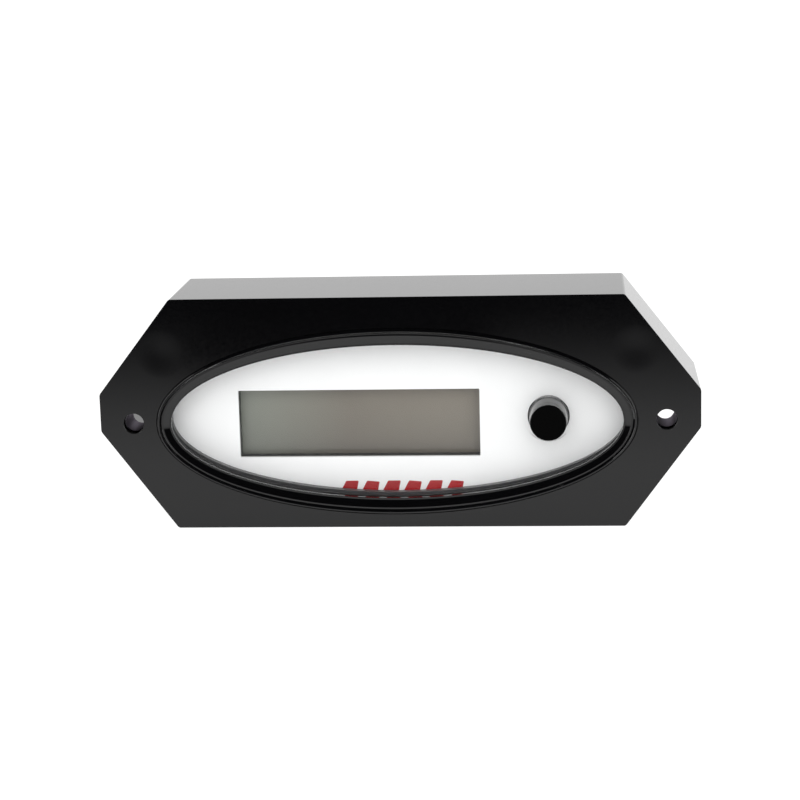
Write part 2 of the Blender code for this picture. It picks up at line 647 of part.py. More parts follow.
def make_rear_closure():
    """Oval inner can, its seal, the rear cover with vent plug, and four long screws."""
    black = finish("can_black", "121213", 0.45)
    inner_a, inner_b = PLATE_A + 0.4 * MM, PLATE_B + 0.4 * MM
    outer_a, outer_b = inner_a + CAN_WALL, inner_b + CAN_WALL
    can_mesh = oval_mesh(outer_a, outer_b, CAN_FRONT, CAN_BACK, "inner_can")
    can = add_part("inner_can", can_mesh, black, WINDOW_X, 0, WINDOW_Z)
    for _, x, z in cover_screw_places():
        join(can, add_tool(disc_mesh(EAR_RADIUS, CAN_EAR_FRONT, CAN_BACK - 0.01 * MM, 24), x, 0, z))
        cut(can, add_tool(disc_mesh(1.8 * MM, CAN_EAR_FRONT - MM, CAN_BACK + MM, 20), x, 0, z))
    hollow = oval_mesh(inner_a, inner_b, CAN_FRONT - MM, CAN_BACK + MM)
    cut(can, add_tool(hollow, WINDOW_X, 0, WINDOW_Z))

    seal_rubber = finish("cover_seal", "1A1A1A", 0.8)
    seal = oval_ring_mesh(
        (outer_a, outer_b), (inner_a, inner_b), COVER_SEAL_FRONT, COVER_SEAL_BACK, "cover_gasket"
    )
    add_part("cover_gasket", seal, seal_rubber, WINDOW_X, 0, WINDOW_Z)

    cover_black = finish("cover_black", "131314", 0.5)
    cover_mesh = oval_mesh(outer_a, outer_b, COVER_FRONT, COVER_BACK, "rear_cover")
    cover = add_part("rear_cover", cover_mesh, cover_black, WINDOW_X, 0, WINDOW_Z)
    zinc = finish("cover_screw_zinc", "A9A9AC", 0.3, 1.0)
    head_radius, head_height = 2.8 * MM, 2.0 * MM
    body = screw_mesh(head_radius, head_height, 1.45 * MM, 25 * MM, "cover_screw")
    for number, x, z in cover_screw_places():
        ear = disc_mesh(EAR_RADIUS, COVER_FRONT + 0.01 * MM, COVER_BACK - 0.01 * MM, 24)
        join(cover, add_tool(ear, x, 0, z))
        cut(cover, add_tool(disc_mesh(1.8 * MM, COVER_FRONT - MM, COVER_BACK + MM, 20), x, 0, z))
        name = f"cover_screw_{number}"
        screw(name, body.copy(), head_radius, head_height, x, COVER_BACK + FIT, z, zinc)
    slot = box_mesh(
        SOCKET_WIDTH + 2 * FIT, COVER_FRONT - MM, COVER_BACK + MM, SOCKET_HEIGHT + 2 * FIT
    )
    vent_x = -34 * MM
    breather = disc_mesh(1.5 * MM, COVER_FRONT - MM, COVER_BACK + MM, 20)
    cut(cover, add_tool(slot, SOCKET_X, 0, SOCKET_Z), add_tool(breather, vent_x, 0, WINDOW_Z))
    white = finish("vent_white", "DADADA", 0.7)
    plug = disc_mesh(4.5 * MM, COVER_BACK + FIT, COVER_BACK + 1.3 * MM, 32, "vent_plug")
    bevel(add_part("vent_plug", plug, white, vent_x, 0, WINDOW_Z), 0.3 * MM, 1)


def main():
    make_outer_case()
    make_mounting_sleeves()
    make_bezel_ring()
    make_window()
    make_dial_plate()
    make_button()
    make_display()
    make_carrier()
    make_board()
    make_harness_socket()
    make_rear_closure()


main()
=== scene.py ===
"""Motorcycle instrument cluster: builds the detailed pieces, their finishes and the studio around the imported
model. X runs to the right, Y from the front face to the back, Z up, all in metres."""

import math

import bmesh
import bpy
from bpy.props import FloatProperty, FloatVectorProperty, PointerProperty
from mathutils import Euler, Matrix, Vector


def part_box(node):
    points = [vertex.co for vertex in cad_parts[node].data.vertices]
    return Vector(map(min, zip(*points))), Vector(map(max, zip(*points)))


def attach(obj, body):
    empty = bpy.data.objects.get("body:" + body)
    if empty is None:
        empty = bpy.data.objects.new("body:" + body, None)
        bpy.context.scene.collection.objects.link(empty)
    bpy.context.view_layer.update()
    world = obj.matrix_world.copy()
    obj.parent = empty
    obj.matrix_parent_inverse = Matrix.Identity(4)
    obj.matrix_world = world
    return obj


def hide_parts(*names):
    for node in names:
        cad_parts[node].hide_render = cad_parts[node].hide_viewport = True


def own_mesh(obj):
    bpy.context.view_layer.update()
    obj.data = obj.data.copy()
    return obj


bl_info = {
    "name": "Instrument Cluster",
    "version": (1, 0, 0),
    "blender": (4, 5, 0),
    "location": "View3D > Sidebar > Cluster",
    "description": "Builds a motorcycle instrument cluster around its packed model",
    "category": "Add Mesh",
}

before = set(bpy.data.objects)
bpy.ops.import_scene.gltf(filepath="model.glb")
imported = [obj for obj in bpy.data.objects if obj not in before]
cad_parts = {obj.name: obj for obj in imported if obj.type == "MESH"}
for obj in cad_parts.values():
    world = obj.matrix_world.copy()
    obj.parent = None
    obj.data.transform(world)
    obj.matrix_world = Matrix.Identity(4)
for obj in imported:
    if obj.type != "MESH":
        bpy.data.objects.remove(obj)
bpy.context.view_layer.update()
MM = 0.001
FACE_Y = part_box("outer_case")[0].y  # every depth is counted from this plane, towards the back


def middle(node):
    """Centre of a CAD node as (x, z)."""
    low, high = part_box(node)
    return (low.x + high.x) / 2, (low.z + high.z) / 2


def depths(node):
    """Depth of a CAD node's front and back behind the face."""
    low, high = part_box(node)
    return low.y - FACE_Y, high.y - FACE_Y


def half_size(node):
    low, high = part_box(node)
    return (high.x - low.x) / 2, (high.z - low.z) / 2


def linear(colour):
    """An sRGB hex colour as linear light."""
    parts = [int(colour[i : i + 2], 16) / 255 for i in (0, 2, 4)]
    return tuple(p / 12.92 if p <= 0.04045 else ((p + 0.055) / 1.055) ** 2.4 for p in parts)


def length(name, about, default):
    return FloatProperty(name=name, description=about, default=default, min=0.0, unit="LENGTH", precision=5)


def colour(name, about, value):
    return FloatVectorProperty(
        name=name, description=about, subtype="COLOR", size=3, min=0.0, max=1.0, default=linear(value)
    )


class ClusterSizes(bpy.types.PropertyGroup):
    edge_radius: length("Case edge", "Rounding of the case's front edge", 0.4 * MM)
    corner_radius: length("Case corner", "Rounding of the case's upright corners", 0.5 * MM)
    wall: length("Case wall", "Thickness of the case's side walls", 2.4 * MM)
    face_plate: length("Face plate", "Thickness of the case's front", 2.6 * MM)
    flat_width: length("Flat width", "Length of the straight top and bottom edges", 124.0 * MM)
    side_top: length("Side top", "Height of the upper end of the short side", 38.1 * MM)
    side_bottom: length("Side bottom", "Height of the lower end of the short side", 27.65 * MM)
    window_a: length("Window half width", "Half the width of the bezel's opening", 62.3 * MM)
    window_b: length("Window half height", "Half the height of the bezel's opening", 21.5 * MM)
    hole_radius: length("Mounting hole", "Radius of the mounting holes in the face", 2.85 * MM)
    button_edge: length("Button edge", "Rounding of the button's rim", 0.3 * MM)
    display_width: length("Display width", "Width of the display window", 67.3 * MM)
    display_height: length("Display height", "Height of the display window", 19.1 * MM)


class ClusterColours(bpy.types.PropertyGroup):
    case: colour("Case", "Black moulded case", "050506")
    bezel: colour("Bezel", "Polished ring round the window", "060607")
    dial: colour("Dial", "White printed dial", "F8F8F8")
    ink: colour("Ink", "Printed dashes at the foot of the dial", "AE000C")
    display_left: colour("Display, left", "Display glass at its left end", "8A8E84")
    display_right: colour("Display, right", "Display glass at its right end", "7C766C")
    button: colour("Button", "Press button and its collar", "070708")
    sleeve: colour("Sleeve", "Zinc on the mounting sleeves", "86828A")
    board: colour("Board", "Solder mask of the circuit board", "14502E")


# Materials


def add_node(tree, kind, inputs=None, links=None, stops=(), **settings):
    """Adds a node, sets its properties, input values and colour stops, and links other nodes to it."""
    node = tree.nodes.new(kind)
    for name, value in settings.items():
        setattr(node, name, value)
    for name, value in (inputs or {}).items():
        node.inputs[name].default_value = value
    for name, output in (links or {}).items():
        tree.links.new(output, node.inputs[name])
    for number, (position, shade) in enumerate(stops):
        elements = node.color_ramp.elements
        element = elements[number] if number < len(elements) else elements.new(position)
        element.position = position
        element.color = (*shade, 1.0)
    return node


def new_material(name):
    """An empty node tree with its output and a coordinate node."""
    material = bpy.data.materials.new(name)
    material.use_nodes = True
    tree = material.node_tree
    tree.nodes.clear()
    out = add_node(tree, "ShaderNodeOutputMaterial")
    place = add_node(tree, "ShaderNodeTexCoord").outputs["Object"]
    return material, tree, out, place


def grey(value):
    return (value, value, value)


def surface(name, base, rough, grain_mm, bump=0.0, tint=0.06, **sockets):
    """A solid finish: colour and roughness drift over a grain of the given size, with a fine bump.

    rough is (least, most); bump is the height of the grain in mm; tint is how far the colour drifts; sockets
    are further inputs of the shader, with a space in the name written as an underscore.
    """
    material, tree, out, place = new_material(name)
    grain = add_node(
        tree, "ShaderNodeTexNoise", {"Scale": 1.0 / (grain_mm * MM), "Detail": 4.0}, {"Vector": place}
    )
    cloud = add_node(tree, "ShaderNodeTexNoise", {"Scale": 55.0, "Detail": 2.0}, {"Vector": place})
    darker = tuple(c * (1 - tint) for c in base)
    lighter = tuple(min(1.0, c * (1 + tint)) for c in base)
    shade = add_node(
        tree,
        "ShaderNodeValToRGB",
        links={"Fac": cloud.outputs["Fac"]},
        stops=[(0.35, darker), (0.65, lighter)],
    )
    gloss = add_node(
        tree,
        "ShaderNodeValToRGB",
        links={"Fac": grain.outputs["Fac"]},
        stops=[(0.3, grey(rough[0])), (0.7, grey(rough[1]))],
    )
    shader = add_node(
        tree,
        "ShaderNodeBsdfPrincipled",
        {name.replace("_", " "): value for name, value in sockets.items()},
        {"Base Color": shade.outputs["Color"], "Roughness": gloss.outputs["Color"]},
    )
    if bump:
        relief = add_node(
            tree, "ShaderNodeBump", {"Strength": 1.0, "Distance": bump * MM}, {"Height": grain.outputs["Fac"]}
        )
        tree.links.new(relief.outputs["Normal"], shader.inputs["Normal"])
    tree.links.new(shader.outputs["BSDF"], out.inputs["Surface"])
    return material


def clear_acrylic():
    """Cast acrylic under a thin anti-glare coat: clear, with a faint sharp reflection that grows edge-on."""
    material, tree, out, place = new_material("acrylic_polished_clear")
    haze = add_node(tree, "ShaderNodeTexNoise", {"Scale": 120.0, "Detail": 2.0}, {"Vector": place})
    gloss = add_node(
        tree,
        "ShaderNodeValToRGB",
        links={"Fac": haze.outputs["Fac"]},
        stops=[(0.35, grey(0.015)), (0.65, grey(0.03))],
    )
    through = add_node(tree, "ShaderNodeBsdfTransparent", {"Color": (0.995, 0.997, 0.997, 1.0)})
    shine = add_node(
        tree, "ShaderNodeBsdfGlossy", {"Color": (1, 1, 1, 1)}, {"Roughness": gloss.outputs["Color"]}
    )
    slant = add_node(tree, "ShaderNodeLayerWeight", {"Blend": 0.5}).outputs["Facing"]
    steep = add_node(tree, "ShaderNodeMath", {1: 5.0}, {0: slant}, operation="POWER")
    share = add_node(tree, "ShaderNodeMapRange", {"To Min": 0.012}, {"Value": steep.outputs["Value"]})
    mix = add_node(
        tree,
        "ShaderNodeMixShader",
        links={0: share.outputs["Result"], 1: through.outputs["BSDF"], 2: shine.outputs["BSDF"]},
    )
    tree.links.new(mix.outputs["Shader"], out.inputs["Surface"])
    return material


def display_glass(left, right, centre_x, centre_z, half_width, half_height):
    """Reflective display under a polariser: grey-green at its left end, warmer to the right, darkened towards
    the bottom by painted shade.
    """
    material, tree, out, place = new_material("display_glass_polarised")
    split = add_node(tree, "ShaderNodeSeparateXYZ", links={"Vector": place})
    across = add_node(
        tree,
        "ShaderNodeMapRange",
        {"From Min": centre_x - half_width, "From Max": centre_x + half_width},
        {"Value": split.outputs["X"]},
    )
    down = add_node(
        tree,
        "ShaderNodeMapRange",
        {"From Min": centre_z + half_height, "From Max": centre_z - half_height},
        {"Value": split.outputs["Z"]},
    )
    paler = tuple(min(1.0, c * 1.22) for c in right)
    tone = add_node(
        tree,
        "ShaderNodeValToRGB",
        links={"Fac": across.outputs["Result"]},
        stops=[(0.0, left), (0.45, right), (1.0, paler)],
    )
    # Painted shade: the colour is multiplied down to 0.62 of itself towards the bottom edge of the window
    shade = add_node(
        tree,
        "ShaderNodeValToRGB",
        links={"Fac": down.outputs["Result"]},
        stops=[(0.0, grey(1.0)), (1.0, grey(0.62))],
    )
    toned = add_node(
        tree,
        "ShaderNodeMix",
        {0: 1.0},
        {6: tone.outputs["Color"], 7: shade.outputs["Color"]},
        data_type="RGBA",
        blend_type="MULTIPLY",
    )
    grain = add_node(tree, "ShaderNodeTexNoise", {"Scale": 900.0, "Detail": 2.0}, {"Vector": place})
    gloss = add_node(
        tree,
        "ShaderNodeValToRGB",
        links={"Fac": grain.outputs["Fac"]},
        stops=[(0.3, grey(0.16)), (0.7, grey(0.22))],
    )
    shader = add_node(
        tree,
        "ShaderNodeBsdfPrincipled",
        {"IOR": 1.5},
        {"Base Color": toned.outputs[2], "Roughness": gloss.outputs["Color"]},
    )
    tree.links.new(shader.outputs["BSDF"], out.inputs["Surface"])
    return material


def circuit_laminate(base):
    """Glass-epoxy board under green solder mask: lighter copper tracks 0.6 mm wide show through it."""
    material, tree, out, place = new_material("laminate_solder_masked")
    tracks = add_node(
        tree,
        "ShaderNodeTexBrick",
        {
            "Scale": 1.0,
            "Brick Width": 9.0 * MM,
            "Row Height": 2.4 * MM,
            "Mortar Size": 0.3 * MM,
            "Color1": (*base, 1.0),
            "Color2": (*(c * 0.85 for c in base), 1.0),
            "Mortar": (*(min(1.0, c * 1.9 + 0.01) for c in base), 1.0),
        },
    )
    turned = add_node(tree, "ShaderNodeMapping", {"Rotation": (math.pi / 2, 0, 0)}, {"Vector": place})
    tree.links.new(turned.outputs["Vector"], tracks.inputs["Vector"])
    relief = add_node(
        tree, "ShaderNodeBump", {"Strength": 1.0, "Distance": 0.03 * MM}, {"Height": tracks.outputs["Fac"]}
    )
    shader = add_node(
        tree,
        "ShaderNodeBsdfPrincipled",
        {"Roughness": 0.32, "IOR": 1.5},
        {"Base Color": tracks.outputs["Color"], "Normal": relief.outputs["Normal"]},
    )
    tree.links.new(shader.outputs["BSDF"], out.inputs["Surface"])
    return material


# Shapes


def spot(x, depth, z):
    """A place in the world, with its depth counted from the case's face."""
    return Vector((x, FACE_Y + depth, z))


def facing(x, depth, z):
    """Turns a shape drawn in X and Y into the plane of the face, at a place."""
    return Matrix.Translation(spot(x, depth, z)) @ Matrix.Rotation(math.pi / 2, 4, "X")


def loop_of(verts):
    """The edges that join these vertices."""
    inside = set(verts)
    return [e for e in {e for v in inside for e in v.link_edges} if set(e.verts) <= inside]


def oval(bm, half_width, half_height, x, depth, z, segments=160):
    """An elliptical loop of edges."""
    matrix = facing(x, depth, z) @ Matrix.Diagonal((half_width, half_height, 1, 1))
    made = bmesh.ops.create_circle(bm, cap_ends=False, segments=segments, radius=1.0, matrix=matrix)
    return loop_of(made["verts"])


def outline(bm, corners, depth, radius, segments=5):
    """A loop of edges through corners, each rounded by a radius; corners are (x, z)."""
    face = bm.faces.new([bm.verts.new(spot(x, depth, z)) for x, z in corners])
    made = bmesh.ops.bevel(
        bm,
        geom=list(face.verts),
        offset=radius,
        offset_type="OFFSET",
        segments=segments,
        profile=0.5,
        affect="VERTICES",
        material=-1,
    )
    whole = max(made["verts"][0].link_faces, key=lambda f: len(f.verts))
    verts = list(whole.verts)
    bmesh.ops.delete(bm, geom=[whole], context="FACES_ONLY")
    return loop_of(verts)


def rectangle(bm, half_width, half_height, x, depth, z, radius, segments=4):
    corners = [
        (x - half_width, z - half_height),
        (x + half_width, z - half_height),
        (x + half_width, z + half_height),
        (x - half_width, z + half_height),
    ]
    return outline(bm, corners, depth, radius, segments)


def chain(bm, loops, closed=False):
    """Walls from each loop to the next, or a flat ring where both lie at one depth."""
    pairs = list(zip(loops, loops[1:]))
    if closed:
        pairs.append((loops[-1], loops[0]))
    for first, second in pairs:
        levels = [v.co.y for e in first + second for v in e.verts]
        if max(levels) - min(levels) < 1e-7:
            fill(bm, first, second)
        else:
            bmesh.ops.bridge_loops(bm, edges=first + second)


def fill(bm, *loops):
    """A flat face between an outline and the holes in it."""
    edges = [e for loop in loops for e in loop]
    bmesh.ops.triangle_fill(bm, use_beauty=True, edges=edges)


def soften(bm, radius, segments=2, angle=40, where=None):
    """Rounds the sharp edges, or those of them that a test picks."""
    limit = math.radians(angle)
    edges = [e for e in bm.edges if len(e.link_faces) == 2 and e.calc_face_angle(0.0) > limit]
    if where:
        edges = [e for e in edges if where(e)]
    if edges:
        bmesh.ops.bevel(
            bm,
            geom=edges,
            offset=radius,
            offset_type="OFFSET",
            segments=segments,
            profile=0.5,
            affect="EDGES",
            clamp_overlap=True,
            material=-1,
        )


def turned(bm, profile, x, z, segments=48):
    """A round body about an axis through (x, z).

    The profile is a list of (radius, depth), either from axis to axis or a closed ring.
    """
    verts = [bm.verts.new(spot(x + radius, depth, z)) for radius, depth in profile]
    ends_on_axis = profile[0][0] == 0
    pairs = list(zip(verts, verts[1:]))
    if not ends_on_axis:
        pairs.append((verts[-1], verts[0]))
    edges = [bm.edges.new(pair) for pair in pairs]
    bmesh.ops.spin(
        bm,
        geom=verts + edges,
        cent=spot(x, 0, z),
        axis=(0, 1, 0),
        angle=2 * math.pi,
        steps=segments,
        use_merge=True,
    )


def block(bm, half_width, half_height, front, back, x, z, radius=0.3 * MM, segments=2):
    """A box with rounded edges."""
    matrix = Matrix.Translation(spot(x, (front + back) / 2, z))
    size = Matrix.Diagonal((2 * half_width, back - front, 2 * half_height, 1))
    made = bmesh.ops.create_cube(bm, size=1.0, matrix=matrix @ size)
    edges = loop_of(made["verts"])
    bmesh.ops.bevel(
        bm,
        geom=edges,
        offset=radius,
        offset_type="OFFSET",
        segments=segments,
        profile=0.5,
        affect="EDGES",
        material=-1,
    )


def piece(name, bm, material, body, nodes=(), smooth_angle=40):
    """Makes the finished object, sets its finish and ties it to its body."""
    bmesh.ops.remove_doubles(bm, verts=bm.verts, dist=1e-7)
    bmesh.ops.recalc_face_normals(bm, faces=bm.faces)
    mesh = bpy.data.meshes.new(name)
    bm.to_mesh(mesh)
    bm.free()
    mesh.shade_smooth()
    mesh.set_sharp_from_angle(angle=math.radians(smooth_angle))
    mesh.materials.append(material)
    obj = bpy.data.objects.new(name, mesh)
    bpy.context.scene.collection.objects.link(obj)
    weighted = obj.modifiers.new("even_shading", "WEIGHTED_NORMAL")
    weighted.keep_sharp = True
    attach(obj, body)
    if nodes:
        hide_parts(*nodes)
    return obj


def from_node(node):
    """A CAD node's shape with its loose triangles merged into whole faces."""
    bm = bmesh.new()
    bm.from_mesh(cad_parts[node].data)
    bmesh.ops.remove_doubles(bm, verts=bm.verts, dist=1e-6)
    bmesh.ops.dissolve_limit(bm, angle_limit=math.radians(0.5), verts=bm.verts, edges=bm.edges)
    return bm


def case_corners(sizes, inset):
    """The eight corners of the case, moved inwards by an inset, anticlockwise from below."""
    low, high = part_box("outer_case")
    height = high.z - low.z
    half_width = (high.x - low.x) / 2
    half_flat = sizes.flat_width / 2
    upper = math.atan2(height - sizes.side_top, half_width - half_flat)
    lower = math.atan2(sizes.side_bottom, half_width - half_flat)
    right = [
        (half_flat - inset * math.tan(lower / 2), inset),
        (half_width - inset, sizes.side_bottom + inset * math.tan((math.pi / 2 - lower) / 2)),
        (half_width - inset, sizes.side_top - inset * math.tan((math.pi / 2 - upper) / 2)),
        (half_flat - inset * math.tan(upper / 2), height - inset),
    ]
    return right + [(-x, z) for x, z in reversed(right)]


class ClusterPiece:
    """Shared by every operator: undo, and a handle on the sizes and colours."""

    bl_options = {"REGISTER", "UNDO"}

    def execute(self, context):
        self.build(context.scene.cluster_sizes, context.scene.cluster_colours)
        return {"FINISHED"}


class CLUSTER_OT_case(ClusterPiece, bpy.types.Operator):
    """Octagonal case: a face with its rebate and holes, thin walls and bosses behind"""

    bl_idname = "cluster.case"
    bl_label = "Case"

    def build(self, sizes, colours):
        low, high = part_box("outer_case")
        depth = high.y - low.y
        plate = sizes.face_plate
        cx, cz = middle("bezel_ring")
        ring_a, ring_b = half_size("bezel_ring")
        lens_a, lens_b = half_size("window_lens")
        gap, hairline = 0.3 * MM, 0.08 * MM
        bm = bmesh.new()
        front = outline(bm, case_corners(sizes, 0), 0, sizes.corner_radius, 8)
        back = outline(bm, case_corners(sizes, 0), depth, sizes.corner_radius, 8)
        inner_back = outline(bm, case_corners(sizes, sizes.wall), depth, sizes.corner_radius / 2, 8)
        inner_front = outline(bm, case_corners(sizes, sizes.wall), plate, sizes.corner_radius / 2, 8)
        chain(bm, [front, back, inner_back, inner_front])
        rebate = [
            oval(bm, ring_a + hairline, ring_b + hairline, cx, 0, cz),
            oval(bm, ring_a + hairline, ring_b + hairline, cx, 1.2 * MM, cz),
            oval(bm, lens_a + gap, lens_b + gap, cx, 1.2 * MM, cz),
            oval(bm, lens_a + gap, lens_b + gap, cx, plate, cz),
        ]
        chain(bm, rebate)
        face_holes, inner_holes = [rebate[0]], [rebate[-1]]
        for node in ("mounting_sleeve_left", "mounting_sleeve_right"):
            hx, hz = middle(node)
            bore, end = half_size(node)[0] + gap, depths(node)[1] - gap
            # The hole in the face, the sleeve's seat behind it and the boss round the sleeve
            steps = [
                (sizes.hole_radius + 0.03 * MM, 0),
                (sizes.hole_radius, 0.03 * MM),
                (sizes.hole_radius, 2.1 * MM),
                (bore, 2.1 * MM),
                (bore, end),
                (5.5 * MM, end),
                (5.5 * MM, plate),
            ]
            rings = [oval(bm, r, r, hx, d, hz, 48) for r, d in steps]
            chain(bm, rings)
            face_holes.append(rings[0])
            inner_holes.append(rings[-1])
        for number in range(1, 5):
            sx, sz = middle(f"cover_screw_{number}")
            # Screw boss and its blind bore, as radius and depth in mm
            steps = [(3.2, 2.6), (3.2, 11.8), (1.75, 11.8), (1.75, 4.0)]
            rings = [oval(bm, r * MM, r * MM, sx, d * MM, sz, 32) for r, d in steps]
            chain(bm, rings)
            inner_holes.append(rings[0])
            bmesh.ops.holes_fill(bm, edges=rings[-1], sides=64)
        fill(bm, front, *face_holes)
        fill(bm, inner_front, *inner_holes)
        bmesh.ops.remove_doubles(bm, verts=bm.verts, dist=1e-7)
        bmesh.ops.recalc_face_normals(bm, faces=bm.faces)

        def on_outline(edge):
            """Whether an edge is on the face's outline, and not round a hole or the window."""
            middle_point = (edge.verts[0].co + edge.verts[1].co) / 2
            at_front = abs(middle_point.y - FACE_Y) < 1e-6
            wide = abs(middle_point.x) > 72 * MM or not 5 * MM < middle_point.z < 59.5 * MM
            near_hole = any(
                math.hypot(middle_point.x - x, middle_point.z - z) < 5 * MM
                for x, z in (middle("mounting_sleeve_left"), middle("mounting_sleeve_right"))
            )
            slanted = not near_hole and (abs(middle_point.x) > sizes.flat_width / 2 or wide)
            return at_front and slanted

        soften(bm, sizes.edge_radius, 4, 60, on_outline)

        def on_back(edge):
            """Whether an edge is on the open back."""
            return all(abs(v.co.y - FACE_Y - depth) < 1e-6 for v in edge.verts)

        soften(bm, 0.4 * MM, 2, 60, on_back)
        # Black ABS off a polished mould: a dark, slightly soft mirror of the studio
        black = surface("abs_moulded_black", tuple(colours.case), (0.1, 0.15), 0.9, 0.0, IOR=1.45)
        self.sink_marks(black)
        shell = piece("case_shell", bm, black, "cluster", ["outer_case"], 12)
        # Painted shade: near-black ABS with almost no reflection on the walls of the mounting holes stands in
        # for the shadow inside each hole
        hole_shade = surface("abs_black_painted_hole_shade", linear("020202"), (0.7, 0.8), 0.3, 0.002, Specular_IOR_Level=0.05)
        shell.data.materials.append(hole_shade)
        for node in ("mounting_sleeve_left", "mounting_sleeve_right"):
            hx, hz = middle(node)
            for polygon in shell.data.polygons:
                away = math.hypot(polygon.center.x - hx, polygon.center.z - hz)
                if away < 5.0 * MM and abs(polygon.normal.y) < 0.6:
                    polygon.material_index = 1

    def sink_marks(self, material):
        """Two shallow dimples in the upper face, where the plastic shrank over thick places behind it."""
        tree = material.node_tree
        place = next(n for n in tree.nodes if n.type == "TEX_COORD").outputs["Object"]
        both_sides = add_node(tree, "ShaderNodeVectorMath", {}, {0: place}, operation="ABSOLUTE")
        away = add_node(
            tree,
            "ShaderNodeVectorMath",
            {1: (65 * MM, -FACE_Y, 49.5 * MM)},
            {0: both_sides.outputs["Vector"]},
            operation="DISTANCE",
        )
        depth = add_node(
            tree,
            "ShaderNodeMapRange",
            {"From Min": 7.0 * MM, "From Max": 0.0},
            {"Value": away.outputs["Value"]},
            interpolation_type="SMOOTHSTEP",
        )
        relief = add_node(
            tree, "ShaderNodeBump", {"Distance": 0.08 * MM}, {"Height": depth.outputs["Result"]}, invert=True
        )
        tree.links.new(relief.outputs["Normal"], tree.nodes["Principled BSDF"].inputs["Normal"])


class CLUSTER_OT_bezel(ClusterPiece, bpy.types.Operator):
    """Oval ring: a rounded crest, a sloping inner band, and a lip that holds the lens"""

    bl_idname = "cluster.bezel"
    bl_label = "Bezel ring"

    def build(self, sizes, colours):
        cx, cz = middle("bezel_ring")
        lens_a, lens_b = half_size("window_lens")
        a, b = sizes.window_a, sizes.window_b
        # How far outside the opening in X and in Z, and how deep, in mm. From the foot inwards: outer flank,
        # crest, inner slope, flat ledge, sloping band, lip and bore.
        foot = 4.60
        profile = [
            (3.90, 4.60, 1.10),
            (3.90, 4.60, 0.02),
            (3.86, 4.56, -0.05),
            (3.52, 4.22, -0.60),
            (3.46, 4.16, -0.65),
            (3.38, 4.08, -0.67),
            (3.14, 3.84, -0.70),
            (3.07, 3.77, -0.67),
            (3.01, 3.71, -0.62),
            (2.53, 3.23, 0.00),
            (2.48, 3.17, 0.05),
            (2.40, 3.10, 0.07),
            (2.05, 2.66, 0.08),
            (2.00, 2.61, 0.10),
            (1.95, 2.55, 0.14),
            (0.64, 0.74, 1.05),
            (0.57, 0.65, 1.08),
            (0.50, 0.56, 1.11),
            (0.08, 0.08, 1.14),
            (0.02, 0.02, 1.17),
            (0.00, 0.00, 1.22),
            (0.00, 0.00, 2.30),
        ]
        bm = bmesh.new()
        rings = []
        for out_a, out_b, d in profile:
            lowered = 0.3 * MM * (1 - out_b / foot)
            rings.append(oval(bm, a + out_a * MM, b + out_b * MM, cx, d * MM, cz - lowered, 224))
        rings.append(oval(bm, lens_a - 0.3 * MM, lens_b - 0.3 * MM, cx, 2.3 * MM, cz, 224))
        rings.append(oval(bm, lens_a - 0.3 * MM, lens_b - 0.3 * MM, cx, 1.1 * MM, cz, 224))
        chain(bm, rings, closed=True)
        # Polished black ABS: a sharper mirror than the case, so each facet of the ring reads as its own band
        gloss = surface("abs_polished_black", tuple(colours.bezel), (0.05, 0.08), 1.4, 0.0, IOR=1.48)
        piece("bezel", bm, gloss, "cluster", ["bezel_ring"], 12)


class CLUSTER_OT_lens(ClusterPiece, bpy.types.Operator):
    """Clear lens with the button's hole"""

    bl_idname = "cluster.lens"
    bl_label = "Lens"

    def build(self, sizes, colours):
        cx, cz = middle("window_lens")
        a, b = half_size("window_lens")
        front, back = depths("window_lens")
        bx, bz = middle("button_collar")
        hole = half_size("button_collar")[0] + 0.3 * MM
        bm = bmesh.new()
        rims = [oval(bm, a, b, cx, d, cz, 160) for d in (front, back)]
        bores = [oval(bm, hole, hole, bx, d, bz, 64) for d in (front, back)]
        chain(bm, rims)
        chain(bm, bores)
        for rim, bore in zip(rims, bores):
            fill(bm, rim, bore)
        bmesh.ops.recalc_face_normals(bm, faces=bm.faces)
        soften(bm, 0.12 * MM, 1, 60)
        piece("lens", bm, clear_acrylic(), "cluster", ["window_lens"])


class CLUSTER_OT_seals(ClusterPiece, bpy.types.Operator):
    """Rubber seals, and the black spacer ring between lens and dial"""

    bl_idname = "cluster.seals"
    bl_label = "Seals and spacer"

    def build(self, sizes, colours):
        cx, cz = middle("window_lens")
        # Moulded rubber: matt and faintly grained
        rubber = surface("rubber_moulded_black", linear("1C1C1D"), (0.6, 0.75), 0.25, 0.01)
        # Unpolished grey ABS: shows as an even grey wall under the dial
        spacer = surface("abs_moulded_spacer", linear("4A4A4B"), (0.28, 0.36), 0.6, 0.004)
        rows = (
            ("lens_seal", "lens_gasket", rubber, "gasket", 0.5 * MM, 0.1 * MM),
            ("spacer_ring", "dial_shroud", spacer, "shroud", 0.8 * MM, 0.0),
        )
        for name, node, finish, slot, more_a, more_b in rows:
            front, back = depths(node)
            half_width, half_height = half_size(node)
            bm = bmesh.new()
            inner = (sizes.window_a + more_a, sizes.window_b + more_b)
            rings = [
                oval(bm, half_width, half_height, cx, front, cz),
                oval(bm, *inner, cx, front, cz),
                oval(bm, *inner, cx, back, cz),
                oval(bm, half_width, half_height, cx, back, cz),
            ]
            chain(bm, rings, closed=True)
            soften(bm, 0.12 * MM, 2, 60)
            piece(name, bm, finish, "cluster", [node])
        bm = from_node("cover_gasket")
        piece("cover_seal", bm, rubber, "cluster", ["cover_gasket"])


